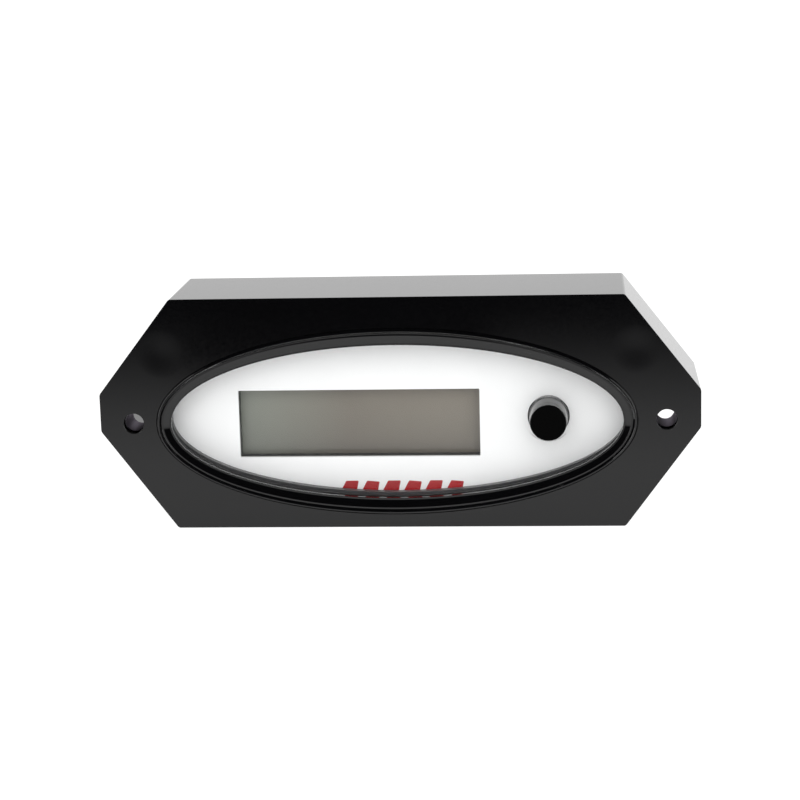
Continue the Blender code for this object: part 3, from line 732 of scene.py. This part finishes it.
class CLUSTER_OT_dial(ClusterPiece, bpy.types.Operator):
    """White dial sheet with the display window, and its printed dashes"""

    bl_idname = "cluster.dial"
    bl_label = "Dial"

    def build(self, sizes, colours):
        cx, cz = middle("dial_plate")
        a, b = half_size("dial_plate")
        front, back = depths("dial_plate")
        bx, bz = middle("button_collar")
        lx, lz = middle("lcd_frame")
        half_w, half_h = sizes.display_width / 2, sizes.display_height / 2
        bm = bmesh.new()
        levels = (front, back)
        rims = [oval(bm, a, b, cx, d, cz, 160) for d in levels]
        bores = [oval(bm, 4.4 * MM, 4.4 * MM, bx, d, bz, 48) for d in levels]
        windows = [rectangle(bm, half_w, half_h, lx, d, lz, 0.25 * MM) for d in levels]
        for walls in (rims, bores, windows):
            chain(bm, walls)
        for loops in zip(rims, bores, windows):
            fill(bm, *loops)
        # White ink printed on polycarbonate sheet: even and bright, with almost no grain
        white = surface(
            "polycarbonate_screen_printed_white", tuple(colours.dial), (0.3, 0.36), 0.5, 0.0, 0.01, IOR=1.5
        )
        piece("dial", bm, white, "cluster", ["dial_plate"])

        # Six slanting dashes whose feet are hidden by the ring
        bm = bmesh.new()
        top, foot, lean = 10.9 * MM, 6.4 * MM, 1.5 * MM
        pitch = 5.9 * MM
        for number in range(6):
            left = cx - 17.4 * MM + number * pitch
            corners = [
                (left, foot),
                (left + 5.0 * MM, foot),
                (left + 4.4 * MM + lean, top - 0.3 * MM * (number % 2)),
                (left + lean + 0.9 * MM, top),
            ]
            edge = outline(bm, corners, front - 0.05 * MM, 0.25 * MM, 3)
            rear = outline(bm, corners, front - 0.01 * MM, 0.25 * MM, 3)
            chain(bm, [edge, rear])
            fill(bm, edge)
            fill(bm, rear)
        # A thick coat of red screen ink, slightly uneven
        red = surface("ink_screen_printed_red", tuple(colours.ink), (0.3, 0.4), 0.2, 0.002, 0.08)
        piece("dial_print", bm, red, "cluster")


class CLUSTER_OT_display(ClusterPiece, bpy.types.Operator):
    """Display glass in its pressed frame; the light panel behind it comes with the electronics"""

    bl_idname = "cluster.display"
    bl_label = "Display"

    def build(self, sizes, colours):
        x, z = middle("lcd_frame")
        outer_w, outer_h = half_size("lcd_frame")
        front, back = depths("lcd_frame")
        glass_front, glass_back = depths("lcd_cell")
        glass_w, glass_h = half_size("lcd_cell")
        window_w, window_h = sizes.display_width / 2, sizes.display_height / 2
        gap = 0.3 * MM
        bm = bmesh.new()
        rows = [
            (outer_w, outer_h, front),
            (window_w, window_h, front),
            (window_w, window_h, glass_front - gap),
            (glass_w + gap, glass_h + gap, glass_front - gap),
            (glass_w + gap, glass_h + gap, back),
            (outer_w, outer_h, back),
        ]
        loops = [rectangle(bm, w, h, x, d, z, 0.4 * MM) for w, h, d in rows]
        chain(bm, loops, closed=True)
        bmesh.ops.recalc_face_normals(bm, faces=bm.faces)
        # Painted pressed steel: a satin edge round the glass
        black = surface("steel_pressed_painted_black", linear("2A2B29"), (0.35, 0.45), 0.4, 0.003)
        piece("display_frame", bm, black, "cluster", ["lcd_frame"])

        # Two panes: the rear one stands out above and below, where the contact strips touch it
        bm = bmesh.new()
        ledge = 1.4 * MM
        rows = [
            (glass_w - 0.9 * MM, glass_h - ledge - 0.5 * MM, glass_front),
            (glass_w - 0.9 * MM, glass_h - ledge - 0.5 * MM, glass_front + 0.2 * MM),
            (glass_w, glass_h - ledge, glass_front + 0.2 * MM),
            (glass_w, glass_h - ledge, glass_front + 1.1 * MM),
            (glass_w, glass_h, glass_front + 1.1 * MM),
            (glass_w, glass_h, glass_back),
        ]
        loops = [rectangle(bm, w, h, x, d, z, 0.15 * MM) for w, h, d in rows]
        chain(bm, loops)
        fill(bm, loops[0])
        fill(bm, loops[-1])
        ends = (tuple(colours.display_left), tuple(colours.display_right))
        glass = display_glass(*ends, x, z, window_w, window_h)
        piece("display_cell", bm, glass, "cluster", ["lcd_cell"])


class CLUSTER_OT_button(ClusterPiece, bpy.types.Operator):
    """Press button with its stem, fixed collar and return spring"""

    bl_idname = "cluster.button"
    bl_label = "Button"

    def build(self, sizes, colours):
        x, z = middle("button_cap")
        radius = half_size("button_cap")[0]
        front, stem_end = depths("button_cap")
        cap_end = front + 8.2 * MM
        rim = sizes.button_edge
        face = radius - 0.22 * MM - rim
        base = radius + 0.2 * MM
        bm = bmesh.new()
        profile = [
            (0, front + 0.03 * MM),
            (0.6 * face, front + 0.02 * MM),
            (face, front),
            (face + 0.38 * rim, front + 0.08 * rim),
            (face + 0.71 * rim, front + 0.29 * rim),
            (face + 0.92 * rim, front + 0.62 * rim),
            (face + rim, front + rim),
            (base, cap_end - 0.2 * MM),
            (base - 0.2 * MM, cap_end),
            (2.3 * MM, cap_end),
            (2.0 * MM, cap_end + 0.3 * MM),
            (2.0 * MM, stem_end - 0.3 * MM),
            (1.7 * MM, stem_end),
            (0, stem_end),
        ]
        turned(bm, profile, x, z, 96)
        # Polished ABS on the button's side: picks up a soft highlight
        gloss = surface("abs_polished_button", tuple(colours.button), (0.12, 0.17), 0.8, 0.0, IOR=1.5)
        button = piece("press_button", bm, gloss, "button", ["button_cap"], 50)
        # Soft rubber pad on its front: swallows the light and stays black
        pad = surface("rubber_moulded_pad", linear("030303"), (0.8, 0.9), 0.3, 0.002, Specular_IOR_Level=0.05)
        button.data.materials.append(pad)
        pad_depth = front + 0.04 * MM
        for polygon in button.data.polygons:
            if polygon.center.y < FACE_Y + pad_depth:
                polygon.material_index = 1

        # The collar shows as a thin rim on the dial
        inner, outer = radius + 0.25 * MM, radius + 0.53 * MM
        collar_back = depths("button_collar")[1]
        bm = bmesh.new()
        seat = collar_back - 0.45 * MM
        profile = [
            (outer - 0.05 * MM, seat),
            (outer, seat + 0.05 * MM),
            (outer, collar_back),
            (inner, collar_back),
            (inner, seat),
        ]
        turned(bm, profile, x, z, 96)
        piece("button_guide", bm, gloss, "cluster", ["button_collar"], 50)

        spring_front, spring_back = depths("button_spring")
        low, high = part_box("button_spring")
        wire = 0.28 * MM
        mean = (high.z - low.z) / 2 - wire
        turns, per_turn = 4, 32
        bm = bmesh.new()
        bmesh.ops.create_circle(
            bm,
            cap_ends=True,
            segments=12,
            radius=wire,
            matrix=Matrix.Translation(spot(x + mean, spring_front + wire, z)),
        )
        pitch = (spring_back - spring_front - 2 * wire) / (turns * per_turn)
        bmesh.ops.spin(
            bm,
            geom=list(bm.faces),
            cent=spot(x, 0, z),
            axis=(0, 1, 0),
            dvec=(0, pitch, 0),
            angle=2 * math.pi * turns,
            steps=turns * per_turn,
        )
        # Drawn spring wire: bright, with a fine sheen
        steel = surface("steel_drawn_wire", linear("C8C8CA"), (0.2, 0.3), 0.3, 0.002, Metallic=1.0)
        coil = piece("return_spring", bm, steel, "cluster", ["button_spring"], 60)
        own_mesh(coil)


class CLUSTER_OT_sleeves(ClusterPiece, bpy.types.Operator):
    """Steel tubes in the mounting holes"""

    bl_idname = "cluster.sleeves"
    bl_label = "Mounting sleeves"

    def build(self, sizes, colours):
        # Turned steel under dull zinc: a grey bore with a broad, blurred shine
        zinc = surface(
            "steel_turned_zinc_plated",
            tuple(colours.sleeve),
            (0.42, 0.55),
            0.35,
            0.004,
            Metallic=1.0,
            Specular_Tint=(0.3, 0.29, 0.3, 1.0),
        )
        for side in ("left", "right"):
            node = f"mounting_sleeve_{side}"
            x, z = middle(node)
            outer = half_size(node)[0]
            inner, edge = 2.55 * MM, 0.06 * MM
            front, back = depths(node)
            profile = [
                (outer - edge, front),
                (outer, front + edge),
                (outer, back - edge),
                (outer - edge, back),
                (inner + edge, back),
                (inner, back - edge),
                (inner, front + edge),
                (inner + edge, front),
            ]
            bm = bmesh.new()
            turned(bm, profile, x, z, 64)
            piece(f"sleeve_{side}", bm, zinc, "cluster", [node])


class CLUSTER_OT_rear(ClusterPiece, bpy.types.Operator):
    """Inner can, rear cover with its ribs, and the vent plug"""

    bl_idname = "cluster.rear"
    bl_label = "Can and cover"

    def build(self, sizes, colours):
        # Grained ABS: a fine leathery texture that breaks up the highlights
        grained = surface("abs_moulded_grained", linear("161617"), (0.38, 0.5), 0.22, 0.02)
        for name, node in (("can", "inner_can"), ("cover", "rear_cover")):
            bm = from_node(node)
            soften(bm, 0.25 * MM, 2, 50)
            piece(name, bm, grained, "cluster", [node])
        cx, cz = middle("rear_cover")
        a, b = half_size("inner_can")
        back = depths("rear_cover")[1]
        bm = bmesh.new()
        # Two low oval ribs, a raised collar round the socket and two short ribs beside the vent
        for shrink in (2.2 * MM, 5.4 * MM):
            steps = [(0.5, -0.1), (0.42, 0.3), (0.25, 0.42), (-0.25, 0.42), (-0.42, 0.3), (-0.5, -0.1)]
            rings = [
                oval(bm, a - shrink + o * MM, b - shrink + o * MM, cx, back + d * MM, cz, 128)
                for o, d in steps
            ]
            chain(bm, rings, closed=True)
        sx, sz = middle("harness_socket")
        sw, sh = half_size("harness_socket")
        steps = [(0.6, -0.1), (0.6, 0.9), (1.0, 1.1), (1.6, 1.1), (1.9, 0.9), (1.9, -0.1)]
        rings = [rectangle(bm, sw + o * MM, sh + o * MM, sx, back + d * MM, sz, 0.5 * MM) for o, d in steps]
        chain(bm, rings, closed=True)
        vx, vz = middle("vent_plug")
        for reach in (-9.5 * MM, 9.5 * MM):
            block(bm, 0.5 * MM, 3.2 * MM, back - 0.1 * MM, back + 0.45 * MM, vx, vz + reach, 0.15 * MM)
        piece("cover_ribs", bm, grained, "cluster")

        # Sintered PTFE membrane: chalky white
        membrane = surface("ptfe_sintered_white", linear("E4E4E0"), (0.55, 0.7), 0.15, 0.02)
        front, end = depths("vent_plug")
        radius = half_size("vent_plug")[0]
        bm = bmesh.new()
        profile = [
            (0, front),
            (radius, front),
            (radius, end - 0.3 * MM),
            (radius - 0.3 * MM, end),
            (radius - 1.0 * MM, end),
            (radius - 1.2 * MM, end - 0.25 * MM),
            (0, end - 0.25 * MM),
        ]
        turned(bm, profile, vx, vz, 64)
        piece("vent", bm, membrane, "cluster", ["vent_plug"])


class CLUSTER_OT_screws(ClusterPiece, bpy.types.Operator):
    """Pan head screws with cross recesses, four in the cover and four in the board"""

    bl_idname = "cluster.screws"
    bl_label = "Screws"

    def build(self, sizes, colours):
        # Bright zinc plating over steel: pale, with a lively shine
        zinc = surface("steel_zinc_plated_screw", linear("B4B4B6"), (0.22, 0.34), 0.3, 0.003, Metallic=1.0)
        for kind, head_height, shank in (("cover", 2.0 * MM, 1.45 * MM), ("board", 1.5 * MM, 1.1 * MM)):
            for number in range(1, 5):
                node = f"{kind}_screw_{number}"
                x, z = middle(node)
                radius = half_size(node)[0]
                tip, top = depths(node)
                self.one_screw(node, x, z, radius, head_height, shank, tip, top, zinc)

    def one_screw(self, node, x, z, radius, head_height, shank, tip, top, finish):
        seat = top - head_height
        profile = [
            (0, top),
            (0.35 * radius, top - 0.02 * head_height),
            (0.62 * radius, top - 0.08 * head_height),
            (0.8 * radius, top - 0.2 * head_height),
            (0.93 * radius, top - 0.38 * head_height),
            (0.99 * radius, top - 0.6 * head_height),
            (radius, top - 0.78 * head_height),
            (radius, seat + 0.06 * head_height),
            (0.96 * radius, seat),
            (shank, seat),
        ]
        pitch = 0.8 * MM
        turns = int((seat - tip - 1.2 * MM) / pitch)
        for turn in range(turns):
            base = seat - 0.3 * MM - turn * pitch
            profile += [(shank * r, base - d * pitch) for r, d in ((0.8, 0.3), (1.0, 0.5), (0.8, 0.7))]
        profile += [(shank * 0.7, tip + 0.5 * MM), (shank * 0.3, tip), (0, tip)]
        bm = bmesh.new()
        turned(bm, profile, x, z, 32)
        obj = piece(node + "_part", bm, finish, "cluster", [node], 35)
        cutter = bmesh.new()
        wing, thick = 0.55 * radius, 0.13 * radius
        for half_width, half_height in ((wing, thick), (thick, wing)):
            matrix = Matrix.Translation(spot(x, top - 0.2 * head_height, z)) @ Matrix.Diagonal(
                (2 * half_width, 0.75 * head_height, 2 * half_height, 1)
            )
            bmesh.ops.create_cube(cutter, size=1.0, matrix=matrix)
        mesh = bpy.data.meshes.new("recess")
        cutter.to_mesh(mesh)
        cutter.free()
        tool = bpy.data.objects.new("recess", mesh)
        bpy.context.scene.collection.objects.link(tool)
        cut = obj.modifiers.new("recess", "BOOLEAN")
        cut.solver = "EXACT"
        cut.use_self = True
        cut.object = tool
        bpy.context.view_layer.update()
        obj.modifiers.move(1, 0)
        solid = bpy.data.meshes.new_from_object(obj.evaluated_get(bpy.context.evaluated_depsgraph_get()))
        obj.modifiers.clear()
        obj.data = solid
        bpy.data.objects.remove(tool, do_unlink=True)


class CLUSTER_OT_socket(ClusterPiece, bpy.types.Operator):
    """Harness socket with its keyways and latch, and six pins"""

    bl_idname = "cluster.socket"
    bl_label = "Harness socket"

    def build(self, sizes, colours):
        x, z = middle("harness_socket")
        w, h = half_size("harness_socket")
        front, back = depths("harness_socket")
        wall, floor = 1.3 * MM, 25.0 * MM
        bm = bmesh.new()
        rows = [
            (w, h, front, 0.6 * MM),
            (w, h, back, 0.6 * MM),
            (w - wall, h - wall, back, 0.4 * MM),
            (w - wall, h - wall, floor, 0.4 * MM),
        ]
        loops = [rectangle(bm, row_w, row_h, x, d, z, corner) for row_w, row_h, d, corner in rows]
        chain(bm, loops)
        pins = [middle(f"terminal_pin_{n}") for n in range(1, 7)]
        holes_front = [oval(bm, 0.85 * MM, 0.85 * MM, px, front, pz, 24) for px, pz in pins]
        holes_floor = [oval(bm, 0.85 * MM, 0.85 * MM, px, floor, pz, 24) for px, pz in pins]
        for pair in zip(holes_front, holes_floor):
            chain(bm, list(pair))
        fill(bm, loops[0], *holes_front)
        fill(bm, loops[-1], *holes_floor)
        bmesh.ops.recalc_face_normals(bm, faces=bm.faces)

        def mouth(edge):
            """Whether an edge is at the socket's open end."""
            return all(abs(v.co.y - FACE_Y - back) < 1e-6 for v in edge.verts)

        soften(bm, 0.2 * MM, 2, 60, mouth)
        key_z, latch_z = z - h + wall + 0.2 * MM, z + h + 0.25 * MM
        for aside in (-7 * MM, 7 * MM):
            block(bm, 0.45 * MM, 0.3 * MM, floor - 0.2 * MM, back - 1.4 * MM, x + aside, key_z, 0.1 * MM, 1)
        block(bm, 2.6 * MM, 0.35 * MM, back - 3.4 * MM, back - 1.6 * MM, x, latch_z, 0.2 * MM, 2)
        # Moulded nylon: satin black
        nylon = surface("nylon_moulded_black", linear("1E1F21"), (0.38, 0.48), 0.3, 0.008)
        piece("socket", bm, nylon, "cluster", ["harness_socket"])
        # Plated brass pins: warm and bright
        brass = surface("brass_tin_plated", linear("CDB06A"), (0.2, 0.3), 0.3, 0.002, Metallic=1.0)
        for number, (px, pz) in enumerate(pins, 1):
            node = f"terminal_pin_{number}"
            start, tip = depths(node)
            bm = bmesh.new()
            thick, point = 0.55 * MM, 0.25 * MM
            profile = [(0, start), (thick, start), (thick, tip - 0.8 * MM), (point, tip), (0, tip)]
            turned(bm, profile, px, pz, 20)
            piece(f"pin_{number}", bm, brass, "cluster", [node])


class CLUSTER_OT_electronics(ClusterPiece, bpy.types.Operator):
    """Tray, circuit board and components"""

    bl_idname = "cluster.electronics"
    bl_label = "Electronics"

    def build(self, sizes, colours):
        # White ABS straight from the mould: matt, reflects light on to the display
        tray = surface("abs_moulded_white", linear("DADAD6"), (0.4, 0.5), 0.4, 0.006, 0.02)
        board = circuit_laminate(tuple(colours.board))
        # Chip epoxy: dull black with a fine mould texture
        epoxy = surface("epoxy_moulded_black", linear("1B1B1D"), (0.45, 0.6), 0.12, 0.01)
        # Tinned steel can: smooth with a soft shine
        tin = surface("steel_drawn_tinned", linear("CACACC"), (0.18, 0.28), 0.5, 0.002, Metallic=1.0)
        # Drawn aluminium: pale and satin
        can = surface("aluminium_drawn_can", linear("C6C8CB"), (0.2, 0.32), 0.4, 0.002, Metallic=1.0)
        # Opal acrylic: milky, spreads the lamps' light
        diffuser = surface("acrylic_cast_opal", linear("E9EBE6"), (0.35, 0.45), 0.5, 0.002, 0.02)
        # Striped contact silicone: dark, matt, uneven in tone
        zebra = surface("silicone_striped_contact", linear("3C3430"), (0.55, 0.7), 0.18, 0.004, 0.3)
        # Phosphor under clear epoxy: cream and glossy
        lamp = surface("epoxy_cast_phosphor", linear("F3EFC9"), (0.2, 0.3), 0.3, 0.0, 0.04)
        # Switch nylon: satin black
        switch = surface("nylon_moulded_switch", linear("222224"), (0.4, 0.5), 0.2, 0.004)
        # Brown acetal: waxy, with a soft shine
        brown = surface("acetal_moulded_brown", linear("4B3226"), (0.35, 0.45), 0.3, 0.003)
        rows = (
            ("tray", "display_carrier", tray, "carrier", "cluster", 0.2),
            ("board", "circuit_board", board, "board", "cluster", 0.05),
            ("light_panel", "lcd_backlight", diffuser, "diffuser", "cluster", 0.2),
            ("contact_upper", "contact_strip_upper", zebra, "contact_rubber", "cluster", 0.15),
            ("contact_lower", "contact_strip_lower", zebra, "contact_rubber", "cluster", 0.15),
            ("lamp_left", "backlight_led_left", lamp, "lamp", "cluster", 0.2),
            ("lamp_right", "backlight_led_right", lamp, "lamp", "cluster", 0.2),
            ("tact_switch", "switch_body", switch, "switch_plastic", "cluster", 0.15),
            ("tact_plunger", "switch_plunger", brown, "plunger", "switch plunger", 0.15),
            ("controller", "microcontroller", epoxy, "chip", "cluster", 0.2),
            ("crystal", "quartz_crystal", tin, "crystal", "cluster", 0.1),
            ("regulator", "voltage_regulator", epoxy, "chip", "cluster", 0.2),
            ("capacitor_top", "capacitor_upper", can, "capacitor", "cluster", 0.1),
            ("capacitor_base", "capacitor_lower", can, "capacitor", "cluster", 0.1),
        )
        for name, node, finish, slot, body, edge in rows:
            bm = from_node(node)
            soften(bm, edge * MM, 2, 50)
            piece(name, bm, finish, body, [node])


# Stage


def light_card(name, location, turn, width, height, strength):
    """A soft rectangular lamp that leaves no highlight."""
    data = bpy.data.lights.new(name, "AREA")
    data.shape = "RECTANGLE"
    data.size = width
    data.size_y = height
    data.energy = strength
    lamp = bpy.data.objects.new(name, data)
    lamp.location = location
    lamp.rotation_euler = Euler(turn)
    lamp.visible_glossy = False
    bpy.context.scene.collection.objects.link(lamp)


class CLUSTER_OT_stage(ClusterPiece, bpy.types.Operator):
    """White floor, even white surroundings, cards that only the gloss sees, and the camera"""

    bl_idname = "cluster.stage"
    bl_label = "Stage"

    def build(self, sizes, colours):
        scene = bpy.context.scene
        scene.view_settings.view_transform = "Standard"
        self.floor()
        self.surroundings(scene)
        self.cards()
        light_card("front_fill", (0, -1.0, 0.7), (math.radians(55), 0, 0), 1.2, 0.8, 3.4)
        self.camera(scene)

    def floor(self):
        bm = bmesh.new()
        bmesh.ops.create_grid(bm, x_segments=1, y_segments=1, size=6.0)
        mesh = bpy.data.meshes.new("floor")
        bm.to_mesh(mesh)
        bm.free()
        floor = bpy.data.objects.new("floor", mesh)
        material = bpy.data.materials.new("paper_white_backlit")
        material.use_nodes = True
        shader = material.node_tree.nodes["Principled BSDF"]
        shader.inputs["Base Color"].default_value = (0.18, 0.18, 0.18, 1.0)
        shader.inputs["Roughness"].default_value = 1.0
        shader.inputs["Specular IOR Level"].default_value = 0.0
        shader.inputs["Emission Color"].default_value = (1.0, 1.0, 1.0, 1.0)
        shader.inputs["Emission Strength"].default_value = 0.95
        mesh.materials.append(material)
        bpy.context.scene.collection.objects.link(floor)

    def surroundings(self, scene):
        world = bpy.data.worlds.new("studio")
        world.use_nodes = True
        background = world.node_tree.nodes["Background"]
        background.inputs["Color"].default_value = (1.0, 1.0, 1.0, 1.0)
        background.inputs["Strength"].default_value = 1.12
        scene.world = world

    def cards(self):
        """What the gloss sees: a black screen, ceiling and floor cloth in front, and bright panels behind and
        beside the object."""
        reach, ceiling = 1.1, 1.25
        screen = bmesh.new()
        rings = []
        for height in (0.0, ceiling):
            matrix = Matrix.Translation((0, 0, height))
            made = bmesh.ops.create_circle(screen, cap_ends=False, segments=64, radius=reach, matrix=matrix)
            rings += loop_of(made["verts"])
        bmesh.ops.bridge_loops(screen, edges=rings)
        hidden = [f for f in screen.faces if f.calc_center_median().y > -0.45]
        bmesh.ops.delete(screen, geom=hidden, context="FACES")
        black = self.plain_card("velvet_black", (0.0, 0.0, 0.0), 0.0)
        bright = self.plain_card("diffuser_lit", (1.0, 1.0, 1.0), 2.0)
        side = self.plain_card("diffuser_lit_side", (1.0, 1.0, 1.0), 5.5)
        overhead = Matrix.Translation((0, -0.5, ceiling)) @ Matrix.Diagonal((reach, 0.6, 1, 1))
        behind = Matrix.Translation((0, 0.5, ceiling)) @ Matrix.Diagonal((reach, 0.4, 1, 1))
        beside = Matrix.Rotation(math.pi / 2, 4, "Y") @ Matrix.Diagonal((0.5, 0.5, 1, 1))
        rows = [
            ("dark_screen", screen, black),
            ("dark_ceiling", self.sheet(overhead), black),
            ("bright_ceiling", self.sheet(behind), bright),
            ("bright_left", self.sheet(Matrix.Translation((-1.05, 0.06, 0.5)) @ beside), side),
            ("bright_right", self.sheet(Matrix.Translation((1.05, 0.06, 0.5)) @ beside), side),
            ("dark_cloth", self.sheet(Matrix.Translation((0, -1.0, 0.0005))), self.soft_cloth()),
        ]
        for name, bm, material in rows:
            mesh = bpy.data.meshes.new(name)
            bm.to_mesh(mesh)
            bm.free()
            card = bpy.data.objects.new(name, mesh)
            mesh.materials.append(material)
            bpy.context.scene.collection.objects.link(card)
            card.visible_camera = False
            card.visible_diffuse = False
            card.visible_transmission = False
            card.visible_shadow = False

    def sheet(self, matrix):
        """A flat card, two metres square before its matrix."""
        bm = bmesh.new()
        bmesh.ops.create_grid(bm, x_segments=1, y_segments=1, size=1.0, matrix=matrix)
        return bm

    def plain_card(self, name, shade, strength):
        material, tree, out, _ = new_material(name)
        glow = add_node(tree, "ShaderNodeEmission", {"Color": (*shade, 1), "Strength": strength})
        tree.links.new(glow.outputs["Emission"], out.inputs["Surface"])
        return material

    def soft_cloth(self):
        """Black cloth that fades out towards the object; a strip left of the middle comes nearer to it."""
        material, tree, out, place = new_material("velvet_black_soft")
        black = add_node(tree, "ShaderNodeEmission", {"Color": (0, 0, 0, 1), "Strength": 0.0})
        split = add_node(tree, "ShaderNodeSeparateXYZ", links={"Vector": place})
        fall = {"interpolation_type": "SMOOTHSTEP"}
        near = add_node(
            tree,
            "ShaderNodeMapRange",
            {"From Min": FACE_Y - 0.05, "From Max": FACE_Y - 0.34},
            {"Value": split.outputs["Y"]},
            **fall,
        )
        offset = add_node(tree, "ShaderNodeMath", {1: 0.045}, {0: split.outputs["X"]}, operation="ADD")
        aside = add_node(tree, "ShaderNodeMath", {}, {0: offset.outputs["Value"]}, operation="ABSOLUTE")
        column = add_node(
            tree,
            "ShaderNodeMapRange",
            {"From Min": 0.09, "From Max": 0.055},
            {"Value": aside.outputs["Value"]},
            **fall,
        )
        reach = add_node(
            tree,
            "ShaderNodeMapRange",
            {"From Min": FACE_Y - 0.15, "From Max": FACE_Y - 0.24},
            {"Value": split.outputs["Y"]},
            **fall,
        )
        strip = add_node(
            tree,
            "ShaderNodeMath",
            {},
            {0: column.outputs["Result"], 1: reach.outputs["Result"]},
            operation="MULTIPLY",
        )
        cover = add_node(
            tree,
            "ShaderNodeMath",
            {},
            {0: near.outputs["Result"], 1: strip.outputs["Value"]},
            operation="MAXIMUM",
        )
        clear = add_node(tree, "ShaderNodeBsdfTransparent")
        mix = add_node(
            tree,
            "ShaderNodeMixShader",
            links={0: cover.outputs["Value"], 1: clear.outputs["BSDF"], 2: black.outputs["Emission"]},
        )
        tree.links.new(mix.outputs["Shader"], out.inputs["Surface"])
        return material

    def camera(self, scene):
        """Slightly above and to the right of the face, at the distance that gives its perspective."""
        low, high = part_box("outer_case")
        yaw, pitch, roll = math.radians(4.69), math.radians(12.31), math.radians(-1.51)
        away = Vector((math.sin(yaw) * math.cos(pitch), -math.cos(yaw) * math.cos(pitch), math.sin(pitch)))
        right = Vector((math.cos(yaw), math.sin(yaw), 0))
        up = away.cross(right)
        tilted_right = right * math.cos(roll) + up * math.sin(roll)
        tilted_up = up * math.cos(roll) - right * math.sin(roll)
        target = Vector((0.74 * MM, FACE_Y, (low.z + high.z) / 2 + 3.66 * MM))
        distance = 0.6128
        data = bpy.data.cameras.new("camera")
        data.sensor_width = 36.0
        data.lens = 100.9
        data.clip_start = 0.01
        camera = bpy.data.objects.new("camera", data)
        turn = Matrix((tilted_right, tilted_up, away)).transposed()
        camera.matrix_world = Matrix.Translation(target + away * distance) @ turn.to_4x4()
        scene.collection.objects.link(camera)
        scene.camera = camera


PIECES = (
    CLUSTER_OT_case,
    CLUSTER_OT_bezel,
    CLUSTER_OT_lens,
    CLUSTER_OT_seals,
    CLUSTER_OT_dial,
    CLUSTER_OT_display,
    CLUSTER_OT_button,
    CLUSTER_OT_sleeves,
    CLUSTER_OT_rear,
    CLUSTER_OT_screws,
    CLUSTER_OT_socket,
    CLUSTER_OT_electronics,
    CLUSTER_OT_stage,
)


class CLUSTER_PT_panel(bpy.types.Panel):
    bl_label = "Instrument cluster"
    bl_idname = "CLUSTER_PT_panel"
    bl_space_type = "VIEW_3D"
    bl_region_type = "UI"
    bl_category = "Cluster"

    def draw(self, context):
        layout = self.layout
        for group in (context.scene.cluster_sizes, context.scene.cluster_colours):
            box = layout.box()
            for name in group.__annotations__:
                box.prop(group, name)
        column = layout.column(align=True)
        for operator in PIECES:
            column.operator(operator.bl_idname)


CLASSES = (ClusterSizes, ClusterColours, *PIECES, CLUSTER_PT_panel)


def register():
    for cls in CLASSES:
        bpy.utils.register_class(cls)
    bpy.types.Scene.cluster_sizes = PointerProperty(type=ClusterSizes)
    bpy.types.Scene.cluster_colours = PointerProperty(type=ClusterColours)


def unregister():
    del bpy.types.Scene.cluster_colours
    del bpy.types.Scene.cluster_sizes
    for cls in reversed(CLASSES):
        bpy.utils.unregister_class(cls)


def main():
    register()
    for operator in PIECES:
        group, name = operator.bl_idname.split(".")
        getattr(getattr(bpy.ops, group), name)()
    bpy.context.view_layer.update()


if __name__ == "__main__":
    main()
